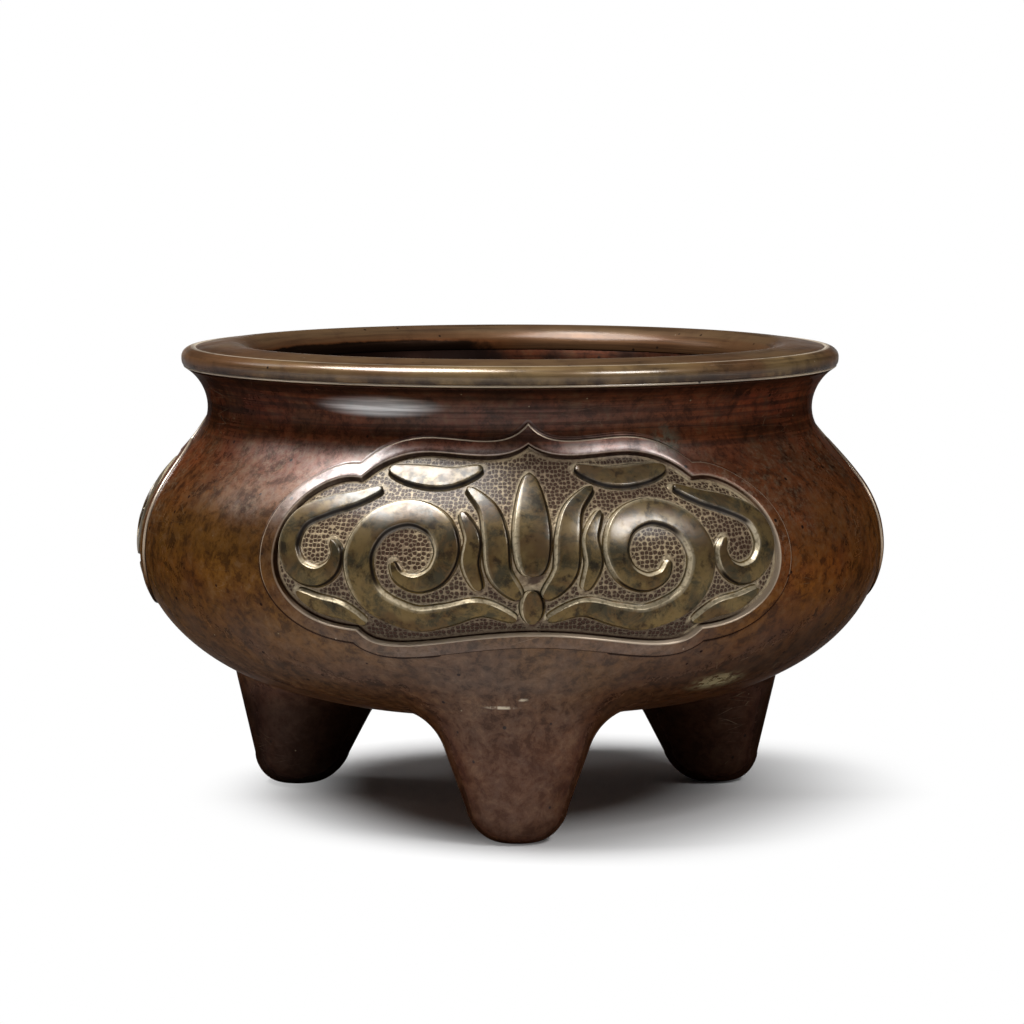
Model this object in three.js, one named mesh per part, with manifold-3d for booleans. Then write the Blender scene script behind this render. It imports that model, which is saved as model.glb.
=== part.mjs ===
// Tripod censer: a cast bronze bowl with a rolled lip on three conical feet.
// A lobed cartouche stands above each foot: a proud frame round a sunk ground with scrolling relief.
// Millimetres, +Z up. The origin is on the bowl's axis, on the surface that the feet stand on.
// The front foot points to -Y.

import * as THREE from 'three';
import { mergeVertices } from 'three/addons/utils/BufferGeometryUtils.js';
import Module from 'manifold-3d';

// Bowl, measured on the outside. The widest circle is the belly's, the narrowest is the waist's,
// and the lip's seat lies above that. Each fullness and hollow is how long the curve runs upright.
const bellyRadius = 100;
const bellyHeight = 71;
const bellyFullnessUp = 19.9;
const bellyFullnessDown = 5.4;
const seatRadius = 87.2;
const seatFlareOut = 3.6;
const seatFlareUp = 2.2;
const waistInset = 6;
const waistHollowDown = 11.6;
const waistHollowUp = 4.2;
const shoulderRise = 36.4;
const neckRise = 10.7;
const undersideHeight = 27.1;
const undersideFlatRadius = 18;
const undersideCornerInset = 3;
const wallThickness = 6;
const neckThickness = 13;

// Lip, a ring that is rolled outwards and seated on the neck
const lipOverhang = 1;
const lipHeight = 6.5;
const lipBeadHeight = 1.2;
const lipBeadOverhang = 0.6;
const lipBandHeight = 2.8;
const lipArrisInset = 3.6;
const lipArrisDrop = 1.1;
const lipCrestInset = 13;
const lipThroatHeight = 0.6;

// Feet
const footCount = 3;
const footStandInset = 33;
const footLean = 0.17;
const footFlatRadius = 4;
const footRoundHeight = 8.4;
const footRoundRadius = 13.1;
const footRoundness = 1.5;
const footTaper = 0.37;
const footFilletDrop = 9;
const footFilletReach = 10;
const footEdge = 0.6;

// Cartouches. They are drawn flat in u and s, and then brought to their real length. u runs along the
// widest circle to the right of their middle, and s runs up the bowl's outside from the widest circle.
const cartoucheTurn = THREE.MathUtils.degToRad(1.6);
const cartoucheHalfLength = 74.2;
const frameWidth = 4.3;
const frameProud = 0.6;
const groundDepth = 1.3;
const groundThickness = 1.2;
const reliefProud = 0.4;
const reliefBevel = 0.8;
const reliefTipWidth = 0.6;
const reliefFullness = 0.7;
const reliefCrestShare = 0.4;

// Clearance between pieces that sit in or on one another
const clearance = 0.3;

// Steps round the axis, round a foot, across and up a cartouche, and along each part of a stroke
const turnSteps = 60;
const footSteps = 16;
const panelColumns = 12;
const panelRows = 6;
const strokeSteps = 2;

// The right half of a cartouche's outline: its points, with the curve handles into and out of each
const outlinePoints = [
  { name: 'apex', at: [0, 43.8], out: [6.4, -6.9], steps: 4 },
  { name: 'crown', at: [29, 40], into: [-13, -0.4], out: [8, 0.1], steps: 3 },
  { name: 'upper notch', at: [51.3, 31.8], into: [-5.3, 6.2], out: [11.7, 0.7], steps: 5 },
  { name: 'end tip', at: [74.2, 5], into: [0, 16], out: [0, -12], steps: 5 },
  { name: 'lower notch', at: [48.6, -18], into: [16.4, 1], out: [-8.6, -9.5], steps: 7 },
  { name: 'foot line', at: [0, -18.6], into: [22, 0] },
];

// Real size of a drawn length
const cartoucheScale = cartoucheHalfLength / Math.max(...outlinePoints.map(({ at }) => at[0]));

// The relief of one cartouche as strokes: a path, the greatest width, and where along the path it lies.
// A paired stroke has a mirrored twin on the left.
const strokes = [
  { name: 'bud', path: [[0, 1], [0, 15.5], [0, 30]], width: 9, widest: 0.38 },
  { name: 'drop', path: [[0, -11.5], [0, -7], [0, -2.5]], width: 5.2, widest: 0.5 },
  {
    name: 'petal',
    path: [[3, -4.5], [8.2, 2], [9.3, 11], [11.5, 19], [17.5, 25.5]],
    width: 5.8,
    widest: 0.42,
    paired: true,
  },
  {
    name: 'inner_leaf',
    path: [[13.2, -2.5], [15.6, 4], [15.2, 11], [18.5, 18]],
    width: 3.8,
    widest: 0.45,
    paired: true,
  },
  {
    name: 'top_leaf',
    path: [[13.5, 31.6], [23, 28.6], [33, 29.2], [42, 31]],
    width: 6.2,
    widest: 0.5,
    paired: true,
  },
  {
    name: 'low_leaf',
    path: [[43.8, -12.4], [50, -9.2], [57, -7.6], [63, -4.6]],
    width: 4.4,
    widest: 0.5,
    paired: true,
  },
  {
    name: 'scroll',
    path: [
      [4, -10.5], [13, -7.2], [22.5, -9.6],
      ...spiral({ eye: [31, 6], from: -90, to: 340, radius: 16.5, lastRadius: 5 }),
    ],
    width: 7,
    widest: 0.42,
    paired: true,
  },
  {
    name: 'end_scroll',
    path: [
      [42, 24.8], [49, 21.4],
      ...spiral({ eye: [56.3, 7], from: 90, to: -215, radius: 12, lastRadius: 3.9 }),
    ],
    width: 5.4,
    widest: 0.4,
    paired: true,
  },
];

// Points of a spiral round its eye, 45 degrees apart or a little less, with an evenly shrinking radius
function spiral({ eye, from, to, radius, lastRadius }) {
  const steps = Math.ceil(Math.abs(to - from) / 45);
  return Array.from({ length: steps + 1 }, (_, step) => {
    const share = step / steps;
    const angle = THREE.MathUtils.degToRad(from + (to - from) * share);
    const reach = radius + (lastRadius - radius) * share;
    return [eye[0] + reach * Math.cos(angle), eye[1] + reach * Math.sin(angle)];
  });
}

const wasm = await Module();
wasm.setup();

function offset(point, x, y) {
  return new THREE.Vector2(point.x + x, point.y + y);
}

function curvePoints(curve, steps) {
  return Array.from({ length: steps + 1 }, (_, step) => curve.getPoint(step / steps));
}

// The outside of the bowl, from underneath up to the seat of the lip
const waistRadius = seatRadius - waistInset;
const waistHeight = bellyHeight + shoulderRise;
const seatHeight = waistHeight + neckRise;
const undersideReach = bellyRadius - undersideCornerInset - undersideFlatRadius;
const underside = new THREE.Vector2(undersideFlatRadius, undersideHeight);
const belly = new THREE.Vector2(bellyRadius, bellyHeight);
const waist = new THREE.Vector2(waistRadius, waistHeight);
const seat = new THREE.Vector2(seatRadius, seatHeight);
const bottomCurve = new THREE.CubicBezierCurve(
  underside, offset(underside, undersideReach, 0), offset(belly, 0, -bellyFullnessDown), belly);
const shoulderCurve = new THREE.CubicBezierCurve(
  belly, offset(belly, 0, bellyFullnessUp), offset(waist, 0, -waistHollowDown), waist);
const neckCurve = new THREE.CubicBezierCurve(
  waist, offset(waist, 0, waistHollowUp), offset(seat, -seatFlareOut, -seatFlareUp), seat);
const outsideCurve = new THREE.CurvePath();
outsideCurve.add(bottomCurve);
outsideCurve.add(shoulderCurve);
outsideCurve.add(neckCurve);
const outsideLength = outsideCurve.getLength();
const lengthBelowBelly = bottomCurve.getLength();

// The same profile as facets, which the bowl and whatever is cut to fit it share
const bottomPoints = curvePoints(bottomCurve, 9);
const shoulderPoints = curvePoints(shoulderCurve, 8).slice(1);
const neckPoints = curvePoints(neckCurve, 3).slice(1);

// A point at u and s on the bowl, raised by the height along the bowl's normal
function onBowl(place, height) {
  const share = THREE.MathUtils.clamp((lengthBelowBelly + place.y) / outsideLength, 0, 1);
  const point = outsideCurve.getPoint(share);
  const along = outsideCurve.getTangent(share);
  const radius = point.x + along.y * height;
  const angle = place.x / bellyRadius;
  return new THREE.Vector3(
    radius * Math.sin(angle),
    -radius * Math.cos(angle),
    point.y - along.x * height,
  );
}

// The largest value between low and high for which the test still holds
function lastWhere(low, high, holds) {
  let inside = low;
  let outside = high;
  for (let step = 0; step < 30; step += 1) {
    const middle = (inside + outside) / 2;
    if (holds(middle)) {
      inside = middle;
    } else {
      outside = middle;
    }
  }
  return inside;
}

// The height of the bowl's underside above or below a point
function undersideOver({ x, y }) {
  const radius = Math.hypot(x, y);
  return bottomCurve.getPoint(lastWhere(0, 1, (share) => bottomCurve.getPoint(share).x < radius)).y;
}

function indexed(points, index) {
  const positions = points.flatMap((point) => point.toArray());
  const geometry = new THREE.BufferGeometry();
  geometry.setAttribute('position', new THREE.Float32BufferAttribute(positions, 3));
  geometry.setIndex(index);
  return geometry;
}

// Quads between neighbouring rings of points, each ring anticlockwise about the way the rings go.
// The rings are closed by flat ends, or the last one meets the first.
function sweep(rings, endless = false) {
  const sides = rings[0].length;
  const index = [];
  const spans = endless ? rings.length : rings.length - 1;
  for (let row = 0; row < spans; row += 1) {
    const nextRow = (row + 1) % rings.length;
    for (let side = 0; side < sides; side += 1) {
      const nextSide = (side + 1) % sides;
      const a = row * sides + side;
      const b = row * sides + nextSide;
      const c = nextRow * sides + nextSide;
      const d = nextRow * sides + side;
      index.push(a, b, c, a, c, d);
    }
  }
  if (!endless) {
    const last = (rings.length - 1) * sides;
    for (let side = 1; side < sides - 1; side += 1) {
      index.push(0, side + 1, side);
      index.push(last, last + side, last + side + 1);
    }
  }
  return indexed(rings.flat(), index);
}

function revolve(profile) {
  return new THREE.LatheGeometry(profile, turnSteps).rotateX(Math.PI / 2);
}

// A closed mesh as a solid that can be cut: shared corners are merged and collapsed triangles dropped
function toSolid(geometry) {
  const clean = geometry.clone();
  clean.deleteAttribute('normal');
  clean.deleteAttribute('uv');
  const merged = mergeVertices(clean, 1e-4);
  const index = merged.index.array;
  const kept = [];
  for (let corner = 0; corner < index.length; corner += 3) {
    const [a, b, c] = index.slice(corner, corner + 3);
    if (a !== b && b !== c && c !== a) {
      kept.push(a, b, c);
    }
  }
  return new wasm.Manifold(new wasm.Mesh({
    numProp: 3,
    vertProperties: new Float32Array(merged.attributes.position.array),
    triVerts: new Uint32Array(kept),
  }));
}

function toGeometry(solid) {
  const mesh = solid.getMesh();
  const geometry = new THREE.BufferGeometry();
  geometry.setAttribute('position', new THREE.BufferAttribute(mesh.vertProperties, 3));
  geometry.setIndex(new THREE.BufferAttribute(mesh.triVerts, 1));
  return geometry;
}

// Bowl: the outside, the flat seat of the lip, and an inside that follows the outside
const mouthRadius = waistRadius - neckThickness;
const innerShare = (bellyRadius - wallThickness) / bellyRadius;

function bowlProfile() {
  const innerBelly = offset(belly, -wallThickness, 0);
  const innerWaist = offset(waist, -neckThickness, 0);
  const floor = offset(underside, 0, wallThickness);
  const innerShoulder = new THREE.CubicBezierCurve(
    innerWaist, offset(innerWaist, 0, -waistHollowDown),
    offset(innerBelly, 0, bellyFullnessUp * innerShare), innerBelly);
  const innerBottom = new THREE.CubicBezierCurve(
    innerBelly, offset(innerBelly, 0, -bellyFullnessDown * innerShare),
    offset(floor, undersideReach * innerShare, 0), floor);
  return [
    new THREE.Vector2(0, underside.y),
    ...bottomPoints,
    ...shoulderPoints,
    ...neckPoints,
    new THREE.Vector2(mouthRadius, seatHeight),
    ...curvePoints(innerShoulder, 4),
    ...curvePoints(innerBottom, 5).slice(1),
    new THREE.Vector2(0, floor.y),
  ];
}

// The recess that a cartouche's frame and ground lie in
const recessDepth = groundDepth + groundThickness + clearance;

function bowlGeometry() {
  const recess = panelPlate(frameWidth + clearance, -recessDepth, recessDepth, -clearance);
  let solid = toSolid(revolve(bowlProfile()));
  for (let place = 0; place < footCount; place += 1) {
    const turned = recess.clone().rotateZ(cartoucheTurn + (place * 2 * Math.PI) / footCount);
    solid = solid.subtract(toSolid(turned));
  }
  return toGeometry(solid);
}

// Lip: a narrow bead under a rolled band, a worn arris, and a crowned top that rolls into the mouth
function lipGeometry() {
  const outerRadius = seatRadius + lipOverhang;
  const topHeight = seatHeight + lipHeight;
  const start = new THREE.Vector2(seatRadius, seatHeight);
  const bead = offset(start, lipBeadOverhang, lipBeadHeight);
  const band = new THREE.Vector2(outerRadius, seatHeight + lipBandHeight);
  const arris = new THREE.Vector2(outerRadius - lipArrisInset, topHeight - lipArrisDrop);
  const crest = new THREE.Vector2(outerRadius - lipCrestInset, topHeight);
  const throat = new THREE.Vector2(mouthRadius, seatHeight + lipThroatHeight);
  const underRoll = new THREE.QuadraticBezierCurve(bead, new THREE.Vector2(band.x, bead.y), band);
  const brow = new THREE.CubicBezierCurve(
    band, new THREE.Vector2(band.x, arris.y - lipArrisDrop), offset(arris, lipArrisInset / 2, 0), arris);
  const top = new THREE.QuadraticBezierCurve(
    arris, new THREE.Vector2((arris.x + crest.x) / 2, crest.y), crest);
  const throatRoll = new THREE.CubicBezierCurve(
    crest, new THREE.Vector2((crest.x + throat.x) / 2, crest.y),
    new THREE.Vector2(throat.x, (crest.y + throat.y) / 2), throat);
  return revolve([
    start,
    ...curvePoints(underRoll, 2),
    ...curvePoints(brow, 3).slice(1),
    ...curvePoints(top, 2).slice(1),
    ...curvePoints(throatRoll, 3).slice(1),
    new THREE.Vector2(mouthRadius, seatHeight),
    start,
  ]);
}

const footStandRadius = bellyRadius - footStandInset;

// The radius of a foot at the height z, without its fillet: a round end under a straight cone
function footRadiusAt(z) {
  if (z >= footRoundHeight) {
    return footRoundRadius + footTaper * (z - footRoundHeight);
  }
  const round = Math.sqrt(1 - (1 - z / footRoundHeight) ** footRoundness);
  return footFlatRadius + (footRoundRadius - footFlatRadius) * round;
}

// A point on the side of the front foot, at an angle round the foot that starts outwards
function footPointAt(angle, z) {
  const middle = footStandRadius - footLean * z;
  const radius = footRadiusAt(z);
  return new THREE.Vector3(radius * Math.sin(angle), -middle - radius * Math.cos(angle), z);
}

// Where the side of the foot meets the bowl
function footMeetsBowl(angle) {
  const z = lastWhere(0, bellyHeight, (height) => undersideOver(footPointAt(angle, height)) > height);
  return footPointAt(angle, z);
}

// Where the fillet ends, further out on the bowl
function filletEnd(angle, meeting) {
  const across = (distance) => {
    const point = meeting.clone();
    point.x += distance * Math.sin(angle);
    point.y -= distance * Math.cos(angle);
    point.z = undersideOver(point);
    return point;
  };
  const near = (distance) => across(distance).distanceTo(meeting) < footFilletReach;
  return across(lastWhere(0, footFilletReach, near));
}

// Everything inside the bowl's outside, grown by the clearance
function bowlCutter() {
  const outside = [...bottomPoints, ...shoulderPoints];
  const grown = outside.map((point, place) => {
    const before = outside[Math.max(place - 1, 0)];
    const after = outside[Math.min(place + 1, outside.length - 1)];
    const along = after.clone().sub(before).normalize();
    return offset(point, along.y * clearance, -along.x * clearance);
  });
  return toSolid(revolve([
    new THREE.Vector2(0, undersideHeight - clearance),
    ...grown,
    new THREE.Vector2(0, waistHeight),
  ]));
}

// Foot: round end, cone, and a fillet that runs out along the bowl on every side, cut to the bowl
function footGeometry() {
  const roundShares = [0, 0.1, 0.4, 1];
  const down = new THREE.Vector3(0, 0, -clearance - footEdge);
  const up = new THREE.Vector3(0, 0, wallThickness);
  const sides = Array.from({ length: footSteps }, (_, step) => {
    const angle = (step / footSteps) * 2 * Math.PI;
    const meeting = footMeetsBowl(angle);
    const end = filletEnd(angle, meeting);
    const fillet = new THREE.QuadraticBezierCurve3(
      footPointAt(angle, meeting.z - footFilletDrop), meeting, end.clone().add(down));
    return [
      ...roundShares.map((share) => footPointAt(angle, share * footRoundHeight)),
      ...curvePoints(fillet, 4),
      end.clone().add(up),
      footPointAt(angle, meeting.z + footFilletDrop),
    ];
  });
  const rings = sides[0].map((_, row) => sides.map((side) => side[row]));
  return toGeometry(toSolid(sweep(rings)).subtract(bowlCutter()));
}

// A drawn point or handle of a cartouche at its real size
function drawn([u, s]) {
  return new THREE.Vector2(u, s).multiplyScalar(cartoucheScale);
}

// The right half of the outline as curves, from the apex round the end tip to the foot line
const outlineSpans = outlinePoints.slice(1).map((next, place) => {
  const last = outlinePoints[place];
  return new THREE.CubicBezierCurve(
    drawn(last.at),
    drawn(last.at).add(drawn(last.out)),
    drawn(next.at).add(drawn(next.into)),
    drawn(next.at),
  );
});

// The closed outline moved inwards by the inset with mitred corners: from the left tip along the
// bottom to the right tip and back along the top. Each column has one point below and one above.
function cartoucheOutline(inset) {
  const spans = outlineSpans.map((span, place) => curvePoints(span, outlinePoints[place].steps).slice(1));
  const right = [drawn(outlinePoints[0].at), ...spans.flat()];
  const left = right.map((point) => new THREE.Vector2(-point.x, point.y));
  const closed = [
    ...left.slice(panelColumns),
    ...right.slice(0, -1).reverse(),
    ...left.slice(1, panelColumns),
  ];
  return closed.map((point, place) => {
    const before = closed.at(place - 1);
    const after = closed[(place + 1) % closed.length];
    const arriving = point.clone().sub(before).normalize();
    const leaving = after.clone().sub(point).normalize();
    const mitre = arriving.add(leaving).normalize();
    const stretch = inset / mitre.dot(leaving);
    return offset(point, -mitre.y * stretch, mitre.x * stretch);
  });
}

// A closed plate that fills the inset outline between two heights over the bowl. With a rim it goes
// on from there to the outline at the rim's inset.
function panelPlate(inset, low, high, rim = inset) {
  const outline = cartoucheOutline(inset);
  const columns = panelColumns * 2;
  const layers = [low, high].map((height) => (
    Array.from({ length: columns + 1 }, (_, column) => {
      const below = outline[column];
      const above = outline[(outline.length - column) % outline.length];
      return Array.from({ length: panelRows + 1 }, (__, row) => (
        onBowl(below.clone().lerp(above, row / panelRows), height)
      ));
    })
  ));
  const rims = [low, high].map((height) => cartoucheOutline(rim).map((place) => onBowl(place, height)));
  const points = [...layers.flat(2), ...rims.flat()];
  const corner = (layer, column, row) => (
    (layer * (columns + 1) + column) * (panelRows + 1) + row
  );
  const edgeCorner = (layer, step) => {
    const around = step % outline.length;
    return around <= columns ? corner(layer, around, 0) : corner(layer, outline.length - around, panelRows);
  };
  const rimCorner = (layer, step) => (
    layers.flat(2).length + layer * outline.length + (step % outline.length)
  );
  const index = [];
  const quad = (a, b, c, d) => index.push(a, b, c, a, c, d);
  for (let column = 0; column < columns; column += 1) {
    const next = column + 1;
    for (let row = 0; row < panelRows; row += 1) {
      const over = row + 1;
      quad(corner(1, column, row), corner(1, next, row), corner(1, next, over), corner(1, column, over));
      quad(corner(0, column, over), corner(0, next, over), corner(0, next, row), corner(0, column, row));
    }
  }
  for (let step = 0; step < outline.length; step += 1) {
    const next = step + 1;
    if (rim !== inset) {
      quad(edgeCorner(1, step), rimCorner(1, step), rimCorner(1, next), edgeCorner(1, next));
      quad(edgeCorner(0, next), rimCorner(0, next), rimCorner(0, step), edgeCorner(0, step));
    }
    quad(rimCorner(0, next), rimCorner(1, next), rimCorner(1, step), rimCorner(0, step));
  }
  return indexed(points, index);
}

// Frame: a flat band that follows the outline, from the floor of the recess to just proud of the bowl
function frameGeometry() {
  const low = clearance - recessDepth;
  const inner = cartoucheOutline(frameWidth);
  const rings = cartoucheOutline(0).map((place, step) => [
    onBowl(place, frameProud),
    onBowl(place, low),
    onBowl(inner[step], low),
    onBowl(inner[step], frameProud),
  ]);
  return sweep(rings, true);
}

// Ground: the sunk plate inside the frame
function groundGeometry() {
  const plate = panelPlate(frameWidth + clearance, clearance - recessDepth, -groundDepth);
  return toGeometry(toSolid(plate));
}

// Relief stroke: a bevelled bar that swells and tapers along its path
function strokeGeometry({ path, width, widest }, side) {
  const curve = new THREE.SplineCurve(path.map(([u, s]) => drawn([u * side, s])));
  const steps = Math.max(6, (path.length - 1) * strokeSteps);
  const swell = Math.log(0.5) / Math.log(widest);
  const tip = reliefTipWidth / 2;
  const belly = (width / 2) * cartoucheScale - tip;
  const low = clearance - groundDepth;
  const rings = Array.from({ length: steps + 1 }, (_, step) => {
    const share = step / steps;
    const middle = curve.getPoint(share);
    const along = curve.getTangent(share);
    const half = tip + belly * Math.max(Math.sin(Math.PI * share ** swell), 0) ** reliefFullness;
    const crest = Math.max(half - reliefBevel, half * reliefCrestShare);
    return [
      onBowl(offset(middle, along.y * half, -along.x * half), low),
      onBowl(offset(middle, -along.y * half, along.x * half), low),
      onBowl(offset(middle, -along.y * crest, along.x * crest), reliefProud),
      onBowl(offset(middle, along.y * crest, -along.x * crest), reliefProud),
    ];
  });
  return sweep(rings);
}

// Colours of the patina: brown body, worn olive bronze on lip and relief, greyer punched ground
const brownBronze = { color: 0x4b2f22, roughness: 0.42, metalness: 0.75 };
const oliveBronze = { color: 0x6a5533, roughness: 0.38, metalness: 0.8 };
const groundBronze = { color: 0x57463a, roughness: 0.6, metalness: 0.6 };

function piece(name, geometry, finish) {
  const mesh = new THREE.Mesh(geometry, new THREE.MeshStandardMaterial(finish));
  mesh.name = name;
  return mesh;
}

function cartouche(sideName) {
  const group = new THREE.Group();
  group.rotation.z = cartoucheTurn;
  group.add(piece(`${sideName}_cartouche_frame`, frameGeometry(), brownBronze));
  group.add(piece(`${sideName}_cartouche_ground`, groundGeometry(), groundBronze));
  strokes.forEach((stroke) => {
    if (stroke.paired) {
      group.add(piece(`${sideName}_${stroke.name}_right`, strokeGeometry(stroke, 1), oliveBronze));
      group.add(piece(`${sideName}_${stroke.name}_left`, strokeGeometry(stroke, -1), oliveBronze));
    } else {
      group.add(piece(`${sideName}_${stroke.name}`, strokeGeometry(stroke, 1), oliveBronze));
    }
  });
  return group;
}

const censer = new THREE.Group();
censer.add(piece('bowl', bowlGeometry(), brownBronze));
censer.add(piece('lip', lipGeometry(), oliveBronze));
['front', 'rear_right', 'rear_left'].forEach((sideName, place) => {
  const side = new THREE.Group();
  side.rotation.z = (place * 2 * Math.PI) / footCount;
  side.add(piece(`${sideName}_foot`, footGeometry(), brownBronze));
  side.add(cartouche(sideName));
  censer.add(side);
});

export default censer;
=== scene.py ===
from math import cos, pi, radians, sin

import bpy
import numpy as np
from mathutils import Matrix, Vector


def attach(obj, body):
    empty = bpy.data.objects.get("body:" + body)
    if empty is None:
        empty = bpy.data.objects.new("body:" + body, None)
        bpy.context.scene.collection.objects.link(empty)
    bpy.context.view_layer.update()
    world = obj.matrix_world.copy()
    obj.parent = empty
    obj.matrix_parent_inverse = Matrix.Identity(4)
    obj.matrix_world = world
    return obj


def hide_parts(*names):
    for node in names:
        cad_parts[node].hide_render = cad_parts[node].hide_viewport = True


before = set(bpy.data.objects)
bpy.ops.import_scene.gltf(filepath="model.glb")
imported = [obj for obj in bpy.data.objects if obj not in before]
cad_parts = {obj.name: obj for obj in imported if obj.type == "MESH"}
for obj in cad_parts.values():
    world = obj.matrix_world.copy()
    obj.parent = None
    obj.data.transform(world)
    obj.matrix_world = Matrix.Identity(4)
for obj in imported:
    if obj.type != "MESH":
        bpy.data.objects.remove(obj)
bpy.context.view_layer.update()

# Every shape is worked out in millimetres in the frame of the solids, and its mesh is in metres.
mm = 0.001
sideNames = ["front", "rear_right", "rear_left"]
sideTurns = [place * 2 * pi / 3 for place in range(3)]


def placed(name, data):
    # a new object of the scene
    item = bpy.data.objects.new(name, data)
    bpy.context.collection.objects.link(item)
    return item


# Camera
view = {
    "distance": 1247.7,  # from the bowl's axis, along the floor
    "height": 202.3,
    "azimuth": 1.6,  # degrees to the left of the front foot
    "pitchDown": 0.099,
    "panRight": 0.00043,
    "lens": 163.36,
    "sensorWidth": 36,
    "sight": 50,  # in metres
}


def placeCamera():
    data = bpy.data.cameras.new("camera")
    data.lens = view["lens"]
    data.sensor_width = view["sensorWidth"]
    data.clip_end = view["sight"]
    camera = placed("camera", data)
    turn = radians(view["azimuth"])
    reach = view["distance"] * mm
    camera.location = (-reach * sin(turn), -reach * cos(turn), view["height"] * mm)
    camera.rotation_euler = (pi / 2 - view["pitchDown"], 0, -turn - view["panRight"])
    bpy.context.scene.camera = camera


placeCamera()
print("camera placed")


# Meshes from arrays
def bezier(points, t):
    # (1-t)^3 a + 3 t (1-t)^2 b + 3 t^2 (1-t) c + t^3 d
    a, b, c, d = (np.asarray(point, float) for point in points)
    t = np.asarray(t, float)[..., None]
    return (1 - t) ** 3 * a + 3 * t * (1 - t) ** 2 * b + 3 * t * t * (1 - t) * c + t ** 3 * d


def smooth(low, high, value):
    # 0 below low, 1 above high, and 3 x^2 - 2 x^3 between them
    x = np.clip((value - low) / (high - low), 0, 1)
    return x * x * (3 - 2 * x)


def unit(vectors):
    return vectors / np.linalg.norm(vectors, axis=-1, keepdims=True)


def arcLength(line):
    # the way along a line of points up to each of them
    return np.concatenate([[0], np.cumsum(np.linalg.norm(np.diff(line, axis=0), axis=1))])


def turnedRings(profile, angle):
    # rings of a profile of radius and height, turned about the axis by angles from the front
    radius, height = profile[:, :1], profile[:, 1:]
    return np.stack([radius * np.sin(angle), -radius * np.cos(angle),
                     np.broadcast_to(height, (len(profile), angle.size))], axis=-1)


def ringFaces(rows, columns, endless=False):
    # quads between neighbouring rings, the last ring meeting the first where endless
    row = np.arange(rows if endless else rows - 1)[:, None]
    column = np.arange(columns)[None, :]
    over = (row + 1) % rows
    beside = (column + 1) % columns
    corners = [row * columns + column, row * columns + beside,
               over * columns + beside, over * columns + column]
    return np.stack(np.broadcast_arrays(*corners), axis=-1).reshape(-1, 4)


def fanFaces(pole, ring):
    # triangles from a pole to the sides of a ring, which runs anticlockwise seen from outside
    return np.stack([np.full_like(ring, pole), ring, np.roll(ring, -1)], axis=-1)


def closedFaces(rows, columns):
    # rings with a pole at each end; the two poles follow the rings in the list of points
    firstRing = np.arange(columns)
    return [ringFaces(rows, columns), fanFaces(rows * columns, firstRing[::-1]),
            fanFaces(rows * columns + 1, (rows - 1) * columns + firstRing)]


def meshOf(name, points, faces, material):
    # from points in metres, and arrays of faces with as many corners each
    mesh = bpy.data.meshes.new(name)
    loops = np.concatenate([part.ravel() for part in faces])
    sizes = np.concatenate([np.full(len(part), part.shape[1]) for part in faces])
    starts = np.concatenate([[0], np.cumsum(sizes)[:-1]])
    mesh.vertices.add(len(points))
    mesh.vertices.foreach_set("co", points.astype(np.float32).ravel())
    mesh.loops.add(len(loops))
    mesh.loops.foreach_set("vertex_index", loops.astype(np.int32))
    mesh.polygons.add(len(sizes))
    mesh.polygons.foreach_set("loop_start", starts.astype(np.int32))
    mesh.update(calc_edges=True)
    mesh.validate()
    mesh.shade_smooth()
    mesh.materials.append(material)
    return mesh


def addPiece(name, points, faces, material, node, marks):
    # marks are values or vectors, one for each point, that the material reads
    mesh = meshOf(name, points * mm, faces, material)
    for mark, values in marks.items():
        flat = np.ascontiguousarray(values, dtype=np.float32)
        if flat.ndim == 1:
            mesh.attributes.new(mark, "FLOAT", "POINT").data.foreach_set("value", flat)
        else:
            mesh.attributes.new(mark, "FLOAT_VECTOR", "POINT").data.foreach_set("vector", flat.ravel())
    piece = placed(name, mesh)
    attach(piece, "root")
    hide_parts(node)


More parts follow.
